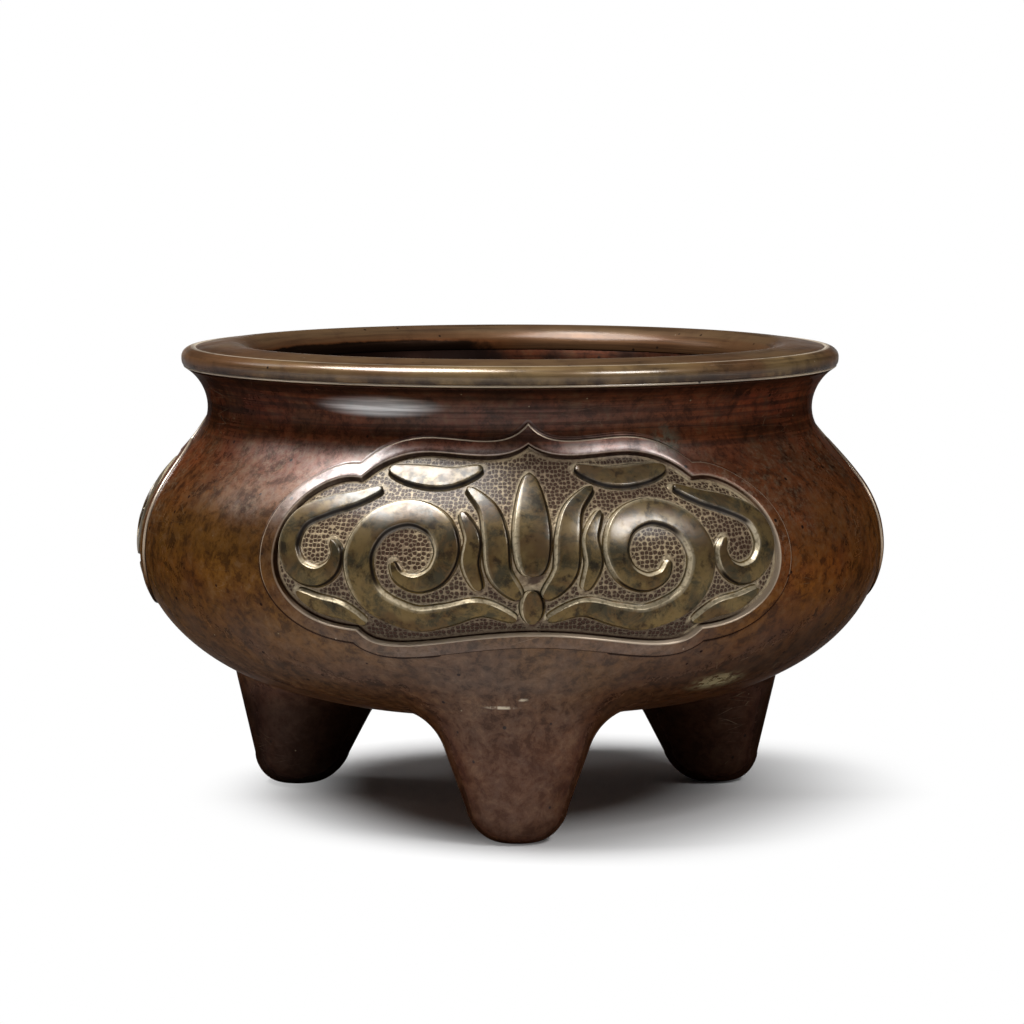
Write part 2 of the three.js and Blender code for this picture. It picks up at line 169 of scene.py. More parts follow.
# Patina materials
class Nodes:
    # a material's node tree, with one short call for each kind of node
    def __init__(self, name):
        self.material = bpy.data.materials.new(name)
        self.material.use_nodes = True
        self.tree = self.material.node_tree
        self.tree.nodes.clear()
        self.place = self.add("ShaderNodeTexCoord").outputs["Object"]

    def add(self, kind, **settings):
        node = self.tree.nodes.new(kind)
        for key, value in settings.items():
            setattr(node, key, value)
        return node

    def feed(self, socket, value):
        if isinstance(value, bpy.types.NodeSocket):
            self.tree.links.new(value, socket)
        elif socket.type == "RGBA":
            socket.default_value = (*value, 1)
        else:
            socket.default_value = value

    def math(self, operation, a, b=0.0):
        node = self.add("ShaderNodeMath", operation=operation)
        self.feed(node.inputs[0], a)
        self.feed(node.inputs[1], b)
        return node.outputs[0]

    def times(self, first, *others):
        # the product of all its values
        for other in others:
            first = self.math("MULTIPLY", first, other)
        return first

    def around(self, value, strength):
        # a noise moved to run evenly below and above 0
        return self.times(self.math("SUBTRACT", value, 0.5), strength)

    def ramp(self, value, low, high, start=0.0, end=1.0):
        # start below low, end above high, smoothly between them
        node = self.add("ShaderNodeMapRange", interpolation_type="SMOOTHSTEP")
        for socket, number in zip(node.inputs, (value, low, high, start, end)):
            self.feed(socket, number)
        return node.outputs[0]

    def stretched(self, scale, turn=(0, 0, 0)):
        node = self.add("ShaderNodeMapping")
        self.feed(node.inputs["Vector"], self.place)
        node.inputs["Rotation"].default_value = turn
        node.inputs["Scale"].default_value = scale
        return node.outputs[0]

    def noise(self, scale, detail, roughness=0.55, distortion=0.0, vector=None):
        node = self.add("ShaderNodeTexNoise")
        self.feed(node.inputs["Vector"], vector or self.place)
        node.inputs["Scale"].default_value = scale
        node.inputs["Detail"].default_value = detail
        node.inputs["Roughness"].default_value = roughness
        node.inputs["Distortion"].default_value = distortion
        return node.outputs["Fac"]

    def cells(self, scale, feature="F1", vector=None, flat=False):
        node = self.add("ShaderNodeTexVoronoi", feature=feature, voronoi_dimensions="2D" if flat else "3D")
        self.feed(node.inputs["Vector"], vector or self.place)
        node.inputs["Scale"].default_value = scale
        return node

    def mix(self, factor, a, b):
        node = self.add("ShaderNodeMix", data_type="RGBA")
        self.feed(node.inputs[0], factor)
        self.feed(node.inputs[6], a)
        self.feed(node.inputs[7], b)
        return node.outputs[2]

    def layered(self, color, look, layers):
        # patina laid on in order: the share of the surface that each layer takes, and its colour
        for share, tint in layers:
            color = self.mix(share, color, look[tint])
        return color

    def mark(self, name, output="Fac"):
        return self.add("ShaderNodeAttribute", attribute_name=name).outputs[output]

    def facingShare(self, limb):
        # 1 where the surface faces the eye, and limb where it turns away
        node = self.add("ShaderNodeLayerWeight")
        node.inputs["Blend"].default_value = 0.5
        return self.ramp(node.outputs["Facing"], 0.30, 0.80, 1.0, limb)

    def axes(self):
        node = self.add("ShaderNodeSeparateXYZ")
        self.feed(node.inputs[0], self.place)
        return node.outputs

    def near(self, spot, reach, flatness):
        # 1 at the spot, falling to 0 at the reach, both in metres, and at reach / flatness upwards
        node = self.add("ShaderNodeVectorMath", operation="DISTANCE")
        self.feed(node.inputs[0], self.stretched((1.0, 1.0, flatness)))
        node.inputs[1].default_value = (spot[0], spot[1], spot[2] * flatness)
        return self.ramp(node.outputs["Value"], reach * 0.2, reach, 1.0, 0.0)

    def bumps(self, *layers):
        # one on the other: height, strength and depth in metres
        normal = None
        for height, strength, depth in layers:
            node = self.add("ShaderNodeBump")
            node.inputs["Strength"].default_value = strength
            node.inputs["Distance"].default_value = depth
            self.feed(node.inputs["Height"], height)
            if normal:
                self.feed(node.inputs["Normal"], normal)
            normal = node.outputs[0]
        return normal

    def finish(self, color, roughness, normal, look, wax):
        # bronze under a thin wax, whose share of gloss is at most what the look gives
        shader = self.add("ShaderNodeBsdfPrincipled")
        self.feed(shader.inputs["Base Color"], color)
        self.feed(shader.inputs["Roughness"], roughness)
        self.feed(shader.inputs["Normal"], normal)
        shader.inputs["Metallic"].default_value = look["metallic"]
        shader.inputs["Specular IOR Level"].default_value = look["specular"]
        shader.inputs["Specular Tint"].default_value = (*look["edgeTint"], 1)
        self.feed(shader.inputs["Coat Weight"], self.times(wax, look["wax"]))
        shader.inputs["Coat IOR"].default_value = 4.0  # far above real wax, for a gloss alike all over
        shader.inputs["Coat Roughness"].default_value = look["waxRoughness"]
        output = self.add("ShaderNodeOutputMaterial")
        self.feed(output.inputs["Surface"], shader.outputs[0])
        return self.material


def specks(nodes, scale, size, share):
    # small round spots of the given size, on a share of the cells only
    cell = nodes.cells(scale)
    spot = nodes.ramp(cell.outputs["Distance"], size * 0.6, size, 1.0, 0.0)
    pick = nodes.add("ShaderNodeSeparateColor")
    nodes.feed(pick.inputs[0], cell.outputs["Color"])
    return nodes.times(spot, nodes.math("LESS_THAN", pick.outputs[0], share))


def scratches(nodes, scale, turn, width, share):
    # thin pale lines: the walls between long stretched cells, where a broad noise lets them show
    vector = nodes.stretched(scale, turn=turn)
    fromWall = nodes.cells(1.0, "DISTANCE_TO_EDGE", vector).outputs["Distance"]
    line = nodes.ramp(fromWall, 0.0, width, 1.0, 0.0)
    patch = nodes.ramp(nodes.noise(55, 2.0), 1 - share - 0.33, 1 - share - 0.22)
    return nodes.times(line, patch)


bodyFinish = {
    "brown": (0.080, 0.030, 0.009),
    "redBrown": (0.150, 0.038, 0.013),
    "rust": (0.27, 0.070, 0.024),
    "oliveBrown": (0.125, 0.052, 0.009),
    "greyBrown": (0.080, 0.037, 0.018),
    "darkBrown": (0.013, 0.006, 0.004),
    "tan": (0.150, 0.080, 0.036),
    "paleWearAndHighlight": (0.30, 0.24, 0.16),
    "wearAndHighlightFrom": (0.38, 0.60),
    "verdigris": (0.16, 0.19, 0.14),
    "bloom": (0.30, 0.25, 0.14),
    "dustAndSheen": (0.11, 0.10, 0.09),
    "chalk": (0.50, 0.42, 0.31),
    "sootAndShade": (0.008, 0.004, 0.003),
    "metallic": 0.5,
    "specular": 0.0,
    "edgeTint": (0.09, 0.07, 0.06),
    "wax": 0.12,
    # gloss between two heights, or two places to the right, with its share at each
    "waxLow": (0.048, 0.062, 0.45, 0.10),
    "waxShoulder": (0.072, 0.092, 0.0, 1.70),  # added to the one above
    "waxNeck": (0.100, 0.105, 1.0, 0.09),
    "waxRight": (0.030, 0.055, 1.0, 0.55),
    "waxLimb": 0.10,  # its share where the surface turns away
    # place, reach, how many times shorter it is upwards, and the share of gloss or colour
    "polished": [((-0.0355, -0.074, 0.1128), 0.020, 6.0, 9.0),
                 ((-0.005, -0.081, 0.1110), 0.050, 7.0, 0.35)],
    "spots": [("verdigris", (0.0380, -0.0735, 0.1035), 0.006, 1.0, 0.3),
              ("bloom", (0.052, -0.062, 0.0405), 0.012, 3.0, 0.95),
              ("chalk", (-0.0045, -0.0846, 0.0370), 0.0055, 9.0, 0.9),
              ("chalk", (0.0008, -0.0850, 0.0392), 0.0020, 3.0, 0.8)],
    "waxRoughness": 0.31,
    "roughness": (0.30, 0.44),
}
frameFinish = {
    **bodyFinish,
    # pale colour of the painted highlight on the frames' edges, and of their wear
    "paleWearAndHighlight": (0.48, 0.38, 0.28),
    "wearAndHighlightFrom": (0.12, 0.38),
    "wax": 0.28,
    "waxRight": (0.030, 0.052, 1.0, 0.2),
    "waxLimb": 0.3,
    "waxRoughness": 0.34,
}


def bodyColor(nodes, look, broad, medium, fine, mottle, turned):
    axes = nodes.axes()
    right, up = axes["X"], axes["Z"]
    paintedShade, sootAndShade = nodes.mark("paintedShade"), nodes.mark("sootAndShade")
    wavyHeight = nodes.math("ADD", up, nodes.times(broad, 0.05))
    # grey brown low down, partly painted sheen, and olive brown above
    base = nodes.mix(nodes.ramp(wavyHeight, 0.062, 0.088), look["greyBrown"], look["oliveBrown"])
    redness = nodes.times(nodes.ramp(right, 0.0, 0.075), nodes.ramp(broad, 0.4, 0.6, 0.4, 1.0),
                          nodes.ramp(up, 0.060, 0.090, 0.15, 1.0))
    stain = nodes.ramp(nodes.noise(38, 6.0, 0.7, 0.6), 0.56, 0.70)
    inNeck = nodes.ramp(up, 0.099, 0.103)
    haze = nodes.times(nodes.ramp(up, 0.066, 0.090), nodes.ramp(up, 0.100, 0.104, 1.0, 0.0),
                       nodes.ramp(nodes.noise(34, 3.0, 0.6), 0.40, 0.62))
    grain = nodes.ramp(nodes.noise(620, 5.0, 0.8), 0.47, 0.62)
    lowBelly = nodes.times(nodes.ramp(up, 0.038, 0.044), nodes.ramp(up, 0.054, 0.068, 1.0, 0.0))
    lowRight = nodes.times(nodes.ramp(right, 0.020, 0.070), nodes.ramp(up, 0.046, 0.066, 0.32, 0.0))
    sootAndShadePatches = nodes.ramp(nodes.math("ADD", sootAndShade, nodes.around(medium, 0.9)), 0.25, 0.75)
    clearOfSootAndShade = nodes.ramp(sootAndShade, 0.0, 0.5, 1.0, 0.0)
    lines = scratches(nodes, (60, 60, 420), (0.3, 0.2, 0.4), 0.010, 0.10)
    layers = [
        (nodes.ramp(wavyHeight, 0.098, 0.128), "redBrown"),
        (nodes.ramp(medium, 0.42, 0.66, 0.0, 0.75), "brown"),
        (nodes.times(redness, 0.8), "rust"),
        (nodes.times(stain, 0.55), "darkBrown"),
        (nodes.ramp(fine, 0.35, 0.7, 0.0, 0.35), "darkBrown"),
        (nodes.ramp(mottle, 0.49, 0.60, 0.0, 0.6), "darkBrown"),
        (nodes.ramp(mottle, 0.37, 0.47, 0.45, 0.0), "tan"),
        (nodes.times(nodes.ramp(turned, 0.40, 0.62, 0.0, 0.6), inNeck), "darkBrown"),
        (nodes.times(haze, grain, 0.30), "paleWearAndHighlight"),
        # a pale grey haze on the lower belly: dust and painted sheen
        (nodes.times(lowBelly, nodes.ramp(medium, 0.3, 0.6, 0.12, 0.22)), "dustAndSheen"),
        (nodes.ramp(up, 0.020, 0.040, 0.16, 0.0), "redBrown"),
        (nodes.ramp(up, 0.1015, 0.1065, 0.0, 0.45), "darkBrown"),
        # painted shade, as dark brown, where the pieces mark it
        (nodes.times(paintedShade, 0.85), "darkBrown"),
        # soot, with painted shade inside the mouth, as black patches
        (nodes.times(sootAndShadePatches, nodes.ramp(sootAndShade, 0.0, 0.2)), "sootAndShade"),
        # painted shade on the lower right of the belly
        (lowRight, "darkBrown"),
        # pale edges of the frames: painted highlight, with some wear
        (nodes.times(nodes.mark("wearAndHighlight"), nodes.ramp(medium, *look["wearAndHighlightFrom"])), "paleWearAndHighlight"),
        (specks(nodes, 260, 0.16, 0.13), "darkBrown"),
        (nodes.times(specks(nodes, 410, 0.11, 0.04), 0.5, clearOfSootAndShade), "paleWearAndHighlight"),
        (nodes.times(lines, 0.3, clearOfSootAndShade), "paleWearAndHighlight"),
    ]
    for tint, spot, reach, flatness, share in look["spots"]:
        patch = nodes.times(nodes.near(spot, reach, flatness), nodes.ramp(fine, 0.38, 0.56), share)
        layers.append((patch, tint))
    return nodes.layered(base, look, layers)


def bodyWax(nodes, look, mottle, turned):
    axes = nodes.axes()
    right, up = axes["X"], axes["Z"]
    wax = nodes.math("ADD", nodes.ramp(up, *look["waxLow"]), nodes.ramp(up, *look["waxShoulder"]))
    wax = nodes.times(wax, nodes.ramp(up, *look["waxNeck"]), nodes.ramp(right, *look["waxRight"]),
                      nodes.math("SUBTRACT", 1.0, nodes.mark("sootAndShade")),
                      nodes.ramp(nodes.mark("paintedShade"), 0.0, 1.0, 1.0, 0.25),
                      nodes.facingShare(look["waxLimb"]), nodes.ramp(mottle, 0.40, 0.62, 1.25, 0.6))
    for spot, reach, flatness, share in look["polished"]:
        streaks = nodes.ramp(turned, 0.38, 0.62, share * 1.3, share * 0.5)
        wax = nodes.math("ADD", wax, nodes.times(nodes.near(spot, reach, flatness), streaks))
    return wax


def bodyMaterial(name, look):
    nodes = Nodes(name)
    broad = nodes.noise(17, 4.0, 0.6, 0.4)
    medium = nodes.noise(70, 5.0, 0.62)
    fine = nodes.noise(420, 4.0, 0.6)
    mottle = nodes.noise(240, 8.0, 0.78, 0.3)
    turned = nodes.noise(1.0, 4.0, 0.6, 0.0, nodes.stretched((22, 22, 900)))  # thin rings, as from turning
    color = bodyColor(nodes, look, broad, medium, fine, mottle, turned)
    roughness = nodes.ramp(nodes.noise(90, 4.0, 0.6), 0.3, 0.7, *look["roughness"])
    normal = nodes.bumps((broad, 0.25, 0.0012), (medium, 0.16, 0.0004), (fine, 0.20, 0.00012))
    return nodes.finish(color, roughness, normal, look, bodyWax(nodes, look, mottle, turned))


lipFinish = {
    "olive": (0.200, 0.128, 0.056),
    "brown": (0.125, 0.060, 0.026),
    "inside": (0.088, 0.048, 0.026),
    "throat": (0.105, 0.038, 0.014),
    "darkBrown": (0.020, 0.010, 0.006),
    "paleWearAndHighlight": (0.62, 0.53, 0.41),
    "sootAndShade": (0.010, 0.005, 0.003),
    "metallic": 0.38,
    "specular": 0.02,
    "edgeTint": (0.3, 0.26, 0.22),
    "wax": 0.23,
    "waxLimb": 0.4,
    "waxRoughness": 0.22,
    "roughness": (0.30, 0.44),
}


def lipMaterial():
    look = lipFinish
    nodes = Nodes("olive_patina")
    broad = nodes.noise(20, 4.0, 0.6, 0.3)
    medium = nodes.noise(110, 5.0, 0.65)
    fine = nodes.noise(500, 4.0, 0.6)
    turned = nodes.noise(1.0, 4.0, 0.6, 0.0, nodes.stretched((30, 30, 1300)))
    paintedShade, sootAndShade = nodes.mark("paintedShade"), nodes.mark("sootAndShade")
    sootAndShadePatches = nodes.ramp(nodes.math("ADD", sootAndShade, nodes.around(medium, 0.9)), 0.45, 0.75)
    lines = scratches(nodes, (50, 50, 500), (0.2, 0.1, 0.0), 0.010, 0.12)
    base = nodes.mix(nodes.ramp(broad, 0.38, 0.62), look["olive"], look["brown"])
    color = nodes.layered(base, look, [
        (nodes.ramp(medium, 0.5, 0.72, 0.0, 0.6), "darkBrown"),
        (nodes.ramp(sootAndShade, 0.0, 0.15, 0.0, 0.75), "inside"),
        (nodes.ramp(sootAndShade, 0.2, 0.6), "throat"),
        # painted shade on the band, then soot and painted shade in the throat as black patches
        (nodes.times(paintedShade, nodes.ramp(medium, 0.3, 0.6, 0.35, 1.0)), "darkBrown"),
        (nodes.times(sootAndShadePatches, nodes.ramp(sootAndShade, 0.2, 0.5)), "sootAndShade"),
        (nodes.times(nodes.mark("wearAndHighlight"), nodes.ramp(medium, 0.22, 0.45)), "paleWearAndHighlight"),
        (specks(nodes, 330, 0.17, 0.16), "darkBrown"),
        (nodes.times(specks(nodes, 460, 0.11, 0.05), 0.5), "paleWearAndHighlight"),
        (nodes.ramp(turned, 0.46, 0.66, 0.0, 0.45), "darkBrown"),
        (nodes.times(lines, nodes.ramp(sootAndShade, 0.0, 0.10, 0.35, 0.04)), "paleWearAndHighlight"),
    ])
    roughness = nodes.ramp(nodes.noise(120, 4.0, 0.6), 0.3, 0.7, *look["roughness"])
    normal = nodes.bumps((broad, 0.2, 0.0008), (medium, 0.2, 0.0003), (fine, 0.2, 0.00012))
    wax = nodes.times(nodes.ramp(sootAndShade, 0.0, 0.55, 1.0, 0.0), nodes.facingShare(look["waxLimb"]),
                      nodes.ramp(paintedShade, 0.0, 1.0, 1.0, 0.2))
    return nodes.finish(color, roughness, normal, look, wax)


reliefFinish = {
    "olive": (0.130, 0.085, 0.030),
    "brown": (0.082, 0.046, 0.016),
    "greenBrown": (0.036, 0.030, 0.015),
    "darkBrown": (0.012, 0.008, 0.006),
    # pale colour of the painted highlight on the strokes' lit edges
    "paleWearAndHighlight": (0.55, 0.46, 0.31),
    "metallic": 0.45,
    "specular": 0.06,
    "edgeTint": (0.4, 0.36, 0.3),
    "wax": 0.19,
    "waxRise": (0.070, 0.081, 0.16, 1.1),
    "waxLimb": 0.3,
    "waxRoughness": 0.26,
    "roughness": (0.30, 0.44),
}


def reliefMaterial():
    look = reliefFinish
    nodes = Nodes("rubbed_relief")
    broad = nodes.noise(90, 4.0, 0.6, 0.3)
    medium = nodes.noise(260, 5.0, 0.65)
    fine = nodes.noise(900, 4.0, 0.6)
    paintedShade = nodes.mark("paintedShade")
    base = nodes.mix(nodes.ramp(broad, 0.42, 0.60), look["olive"], look["brown"])
    color = nodes.layered(base, look, [
        (nodes.ramp(nodes.noise(150, 6.0, 0.75, 0.5), 0.45, 0.62, 0.0, 0.9), "greenBrown"),
        (nodes.ramp(medium, 0.52, 0.66, 0.0, 0.7), "darkBrown"),
        # painted highlight on the lit edges and painted shade at the foot of the other walls
        (nodes.times(nodes.mark("wearAndHighlight"), nodes.ramp(fine, 0.30, 0.55, 0.35, 1.0)), "paleWearAndHighlight"),
        (paintedShade, "darkBrown"),
    ])
    roughness = nodes.ramp(nodes.noise(200, 4.0, 0.6), 0.3, 0.7, *look["roughness"])
    normal = nodes.bumps((broad, 0.3, 0.0005), (medium, 0.3, 0.00020), (fine, 0.3, 0.00008))
    wax = nodes.times(nodes.ramp(paintedShade, 0.0, 1.0, 1.0, 0.15), nodes.facingShare(look["waxLimb"]),
                      nodes.ramp(nodes.axes()["Z"], *look["waxRise"]),
                      nodes.ramp(medium, 0.42, 0.62, 1.05, 0.55))
    return nodes.finish(color, roughness, normal, look, wax)


groundFinish = {
    "pitch": 0.00122,
    "unevenness": 0.6,
    "rim": (0.360, 0.275, 0.170),
    "dullRim": (0.215, 0.155, 0.100),
    "lowRim": (0.075, 0.054, 0.038),
    # pale colour of the painted highlight beside raised edges
    "margin": (0.38, 0.31, 0.205),
    "pit": (0.036, 0.016, 0.011),
    "metallic": 0.2,
    "specular": 0.1,
    "edgeTint": (0.3, 0.27, 0.24),
    "waxRise": (0.060, 0.088, 0.20, 1.0),
    "wax": 0.060,
    "waxRoughness": 0.24,
    "roughness": (0.38, 0.55),
}


def groundMaterial():
    # punches are the cells of a nearly even flat lattice: dark hollows between worn rims
    look = groundFinish
    nodes = Nodes("punched_ground")
    up = nodes.axes()["Z"]
    edgeLightAndShade = nodes.mark("edgeLightAndShade")
    broad = nodes.noise(60, 4.0, 0.6)
    fine = nodes.noise(900, 4.0, 0.6)
    distances = []
    for feature in ("DISTANCE_TO_EDGE", "F1"):
        lattice = nodes.cells(1 / look["pitch"], feature, nodes.mark("panel", "Vector"), True)
        lattice.inputs["Randomness"].default_value = look["unevenness"]
        distances.append(lattice.outputs["Distance"])
    fromEdge, fromMiddle = distances
    uneven = nodes.around(nodes.noise(700, 2.0), 0.30)
    hollow = nodes.times(nodes.ramp(nodes.math("ADD", fromMiddle, uneven), 0.34, 0.62, 1.0, 0.0),
                         nodes.ramp(fromEdge, 0.01, 0.15), nodes.mark("punched"))
    depth = nodes.math("ADD", hollow, nodes.around(fine, 0.5))
    wavyHeight = nodes.math("ADD", up, nodes.around(broad, 0.03))
    base = nodes.mix(nodes.ramp(broad, 0.4, 0.62), look["rim"], look["dullRim"])
    color = nodes.layered(base, look, [
        (nodes.ramp(wavyHeight, 0.056, 0.074, 0.88, 0.0), "lowRim"),
        (nodes.ramp(fine, 0.45, 0.70, 0.0, 0.5), "pit"),
        (nodes.ramp(depth, 0.35, 0.95, 0.0, 0.9), "pit"),
        # painted highlight, pale, on the lit side of raised edges, and painted shade, as pit colour, on the
        # other side
        (nodes.times(nodes.ramp(edgeLightAndShade, 0.0, 1.0), nodes.ramp(fine, 0.40, 0.55, 1.0, 0.5)), "margin"),
        (nodes.ramp(edgeLightAndShade, -1.0, 0.0, 0.85, 0.0), "pit"),
    ])
    roughness = nodes.ramp(fine, 0.3, 0.7, *look["roughness"])
    normal = nodes.bumps((nodes.math("SUBTRACT", 1.0, hollow), 1.0, 0.00038), (fine, 0.5, 0.00016))
    wax = nodes.times(nodes.ramp(hollow, 0.3, 0.9, 0.9, 0.6), nodes.ramp(up, *look["waxRise"]))
    return nodes.finish(color, roughness, normal, look, wax)


bodyPatina = bodyMaterial("brown_patina", bodyFinish)
framePatina = bodyMaterial("frame_patina", frameFinish)
lipPatina = lipMaterial()
reliefPatina = reliefMaterial()
groundPatina = groundMaterial()
print("materials made")


# Bowl outside, which every piece on it is laid out on
bowl = {
    "bellyRadius": 100.0,
    "bellyHeight": 71.0,
    "fullnessUp": 19.9,
    "fullnessDown": 5.4,
    "waist": (81.2, 107.4),
    "hollowDown": 11.6,
    "hollowUp": 4.2,
    "seat": (87.2, 118.1),
    "seatFlare": (3.6, 2.2),
    "underside": (18.0, 27.1),
    "undersideReach": 79.0,
    "wall": 6.0,
    "neckWall": 13.0,
    "mouthBevel": (0.5, 0.3),
    "lastRing": 8.0,  # radius, on the floor inside
    "dentDepth": 0.10,
    "dentFade": 12.0,  # along the neck, up to the lip
    "recessDepth": 3.0,
    "recessEdge": (1.3, 2.7),  # inside the cartouche's outline, where it starts and where it is deep
    "rows": (44, 84, 26),  # below the cartouches, from there up, and in each curve of the inside
    "rowsChange": -28.0,  # arc length
    "columns": 540,
}


def offset(point, x, y):
    return (point[0] + x, point[1] + y)


belly = (bowl["bellyRadius"], bowl["bellyHeight"])
bottomHandles = [bowl["underside"], offset(bowl["underside"], bowl["undersideReach"], 0),
                 offset(belly, 0, -bowl["fullnessDown"]), belly]
shoulderHandles = [belly, offset(belly, 0, bowl["fullnessUp"]),
                   offset(bowl["waist"], 0, -bowl["hollowDown"]), bowl["waist"]]
neckHandles = [bowl["waist"], offset(bowl["waist"], 0, bowl["hollowUp"]),
               offset(bowl["seat"], -bowl["seatFlare"][0], -bowl["seatFlare"][1]), bowl["seat"]]
spanSteps = np.linspace(0, 1, 1500)
outsideLine = np.concatenate([bezier(bottomHandles, spanSteps), bezier(shoulderHandles, spanSteps)[1:],
                              bezier(neckHandles, spanSteps)[1:]])
outsideArc = arcLength(outsideLine)
outsideArc -= outsideArc[spanSteps.size - 1]
outsideAlong = np.gradient(outsideLine, outsideArc, axis=0)
bottomLine = outsideLine[:spanSteps.size]


def outside(s):
    # radius and height at the arc length s above the belly, and the unit normal there
    radius, height, alongR, alongZ = (np.interp(s, outsideArc, line) for line in
                                      (*outsideLine.T, *outsideAlong.T))
    length = np.hypot(alongR, alongZ)
    return radius, height, alongZ / length, -alongR / length


def dents(angle, s):
    # slow waves of a hand-finished casting: a few products of sines round and up the bowl
    wave = (np.sin(3 * angle + 0.7) * np.sin(s / 21 + 1.1) + 0.8 * np.sin(5 * angle + s / 17)
            + 0.6 * np.sin(8 * angle - s / 13 + 2.0) + 0.4 * np.sin(13 * angle + 0.5) * np.cos(s / 9))
    return bowl["dentDepth"] * wave * smooth(outsideArc[-1], outsideArc[-1] - bowl["dentFade"], s)


def onBowl(u, s, lift, turn=0.0):
    # the outside at arc length s, raised along its normal by lift, turned by u / belly radius + turn
    radius, height, normalR, normalZ = outside(s)
    angle = u / bowl["bellyRadius"] + turn
    lift = lift + dents(angle, s)
    radius = radius + normalR * lift
    return np.stack([radius * np.sin(angle), -radius * np.cos(angle), height + normalZ * lift], axis=-1)


# Cartouche outline
cartouche = {
    "turn": radians(1.6),
    "frameWidth": 4.3,
    "frameProud": 0.7,
    "drawnWidth": 4.3,  # the frame's section is drawn at this width and rise
    "drawnProud": 0.7,
    "groundDepth": 1.3,
    "steps": (90, 84, 62),  # along the crown, the end lobe and the foot line
}
outlineHandles = [
    [(0, 43.8), (6.4, 36.9), (16, 39.6), (29, 40)],
    [(29, 40), (37, 40.1), (46, 38), (51.3, 31.8)],
    [(51.3, 31.8), (63, 32.5), (74.2, 21), (74.2, 5)],
    [(74.2, 5), (74.2, -7), (65, -17), (48.6, -18)],
    [(48.6, -18), (40, -27.5), (22, -18.6), (0, -18.6)],
]


def outlineLine(inset):
    # the right half moved inwards by inset along its normals, with mitres at the two notches and cut
    # at the middle, in evenly spaced steps; then the left half as its mirror image: one closed line
    t = np.linspace(0, 1, 400)
    lobes = [np.concatenate([bezier(outlineHandles[0], t), bezier(outlineHandles[1], t)[1:]]),
             np.concatenate([bezier(outlineHandles[2], t), bezier(outlineHandles[3], t)[1:]]),
             bezier(outlineHandles[4], t)]
    inwards = []
    for lobe in lobes:
        along = np.gradient(lobe, axis=0)
        along[0], along[-1] = lobe[1] - lobe[0], lobe[-1] - lobe[-2]
        along = unit(along)
        inwards.append(np.stack([along[:, 1], -along[:, 0]], axis=-1))
    inwards[2][-1] = (0, 1)
    moved = [lobe + inset * normal for lobe, normal in zip(lobes, inwards)]
    mitres = []
    for before, after in ((0, 1), (1, 2)):
        a, b = inwards[before][-1], inwards[after][0]
        mitres.append(lobes[after][0] + inset * (a + b) / (1 + a @ b))
    top = moved[0]
    first = np.argmax(top[:, 0] >= 0)
    if first > 0:
        share = -top[first - 1, 0] / (top[first, 0] - top[first - 1, 0])
        start = top[first - 1] + share * (top[first] - top[first - 1])
    else:
        start = top[0]
    start = np.array([0.0, start[1]])
    chains = [np.concatenate([[start], top[first + 1:], [mitres[0]]]),
              np.concatenate([[mitres[0]], moved[1], [mitres[1]]]),
              np.concatenate([[mitres[1]], moved[2]])]
    right = [start[None]]
    for chain, steps in zip(chains, cartouche["steps"]):
        arc = arcLength(chain)
        stations = np.linspace(0, arc[-1], steps + 1)[1:]
        right.append(np.stack([np.interp(stations, arc, chain[:, axis]) for axis in (0, 1)], axis=-1))
    right = np.concatenate(right)
    left = right[1:-1][::-1] * (-1, 1)
    return np.concatenate([right, left])  # clockwise, from the top


def insetOf(u, s, line):
    # how far each place lies inside a closed line, negative outside it
    places = np.stack([u.ravel(), s.ravel()], axis=-1)
    best = np.full(len(places), np.inf)
    inside = np.zeros(len(places), bool)
    for start, end in zip(line, np.roll(line, -1, axis=0)):
        way = end - start
        share = np.clip((places - start) @ way / (way @ way), 0, 1)
        gap = places - start - share[:, None] * way
        best = np.minimum(best, np.einsum("ij,ij->i", gap, gap))
        spans = (start[1] > places[:, 1]) != (end[1] > places[:, 1])
        if spans.any():
            crossing = start[0] + (places[:, 1] - start[1]) / (end[1] - start[1] + 1e-12) * way[0]
            inside ^= spans & (places[:, 0] < crossing)
    return (np.where(inside, 1, -1) * np.sqrt(best)).reshape(u.shape)


outline = outlineLine(0)
lightSide = np.array([-0.6, 0.8])  # up and to the left: raised edges get painted highlight on this side and painted shade on the other


def recess(u, s):
    # how far the bowl sinks at a place in or round a cartouche
    return bowl["recessDepth"] * smooth(*bowl["recessEdge"], insetOf(u, s, outline[::3]))


# Bowl
def onLeft(angle):
    # 1 on the left of the mouth, whose inside gets more painted shade, and 0 on its right
    return smooth(0.15, -0.35, np.sin(angle))


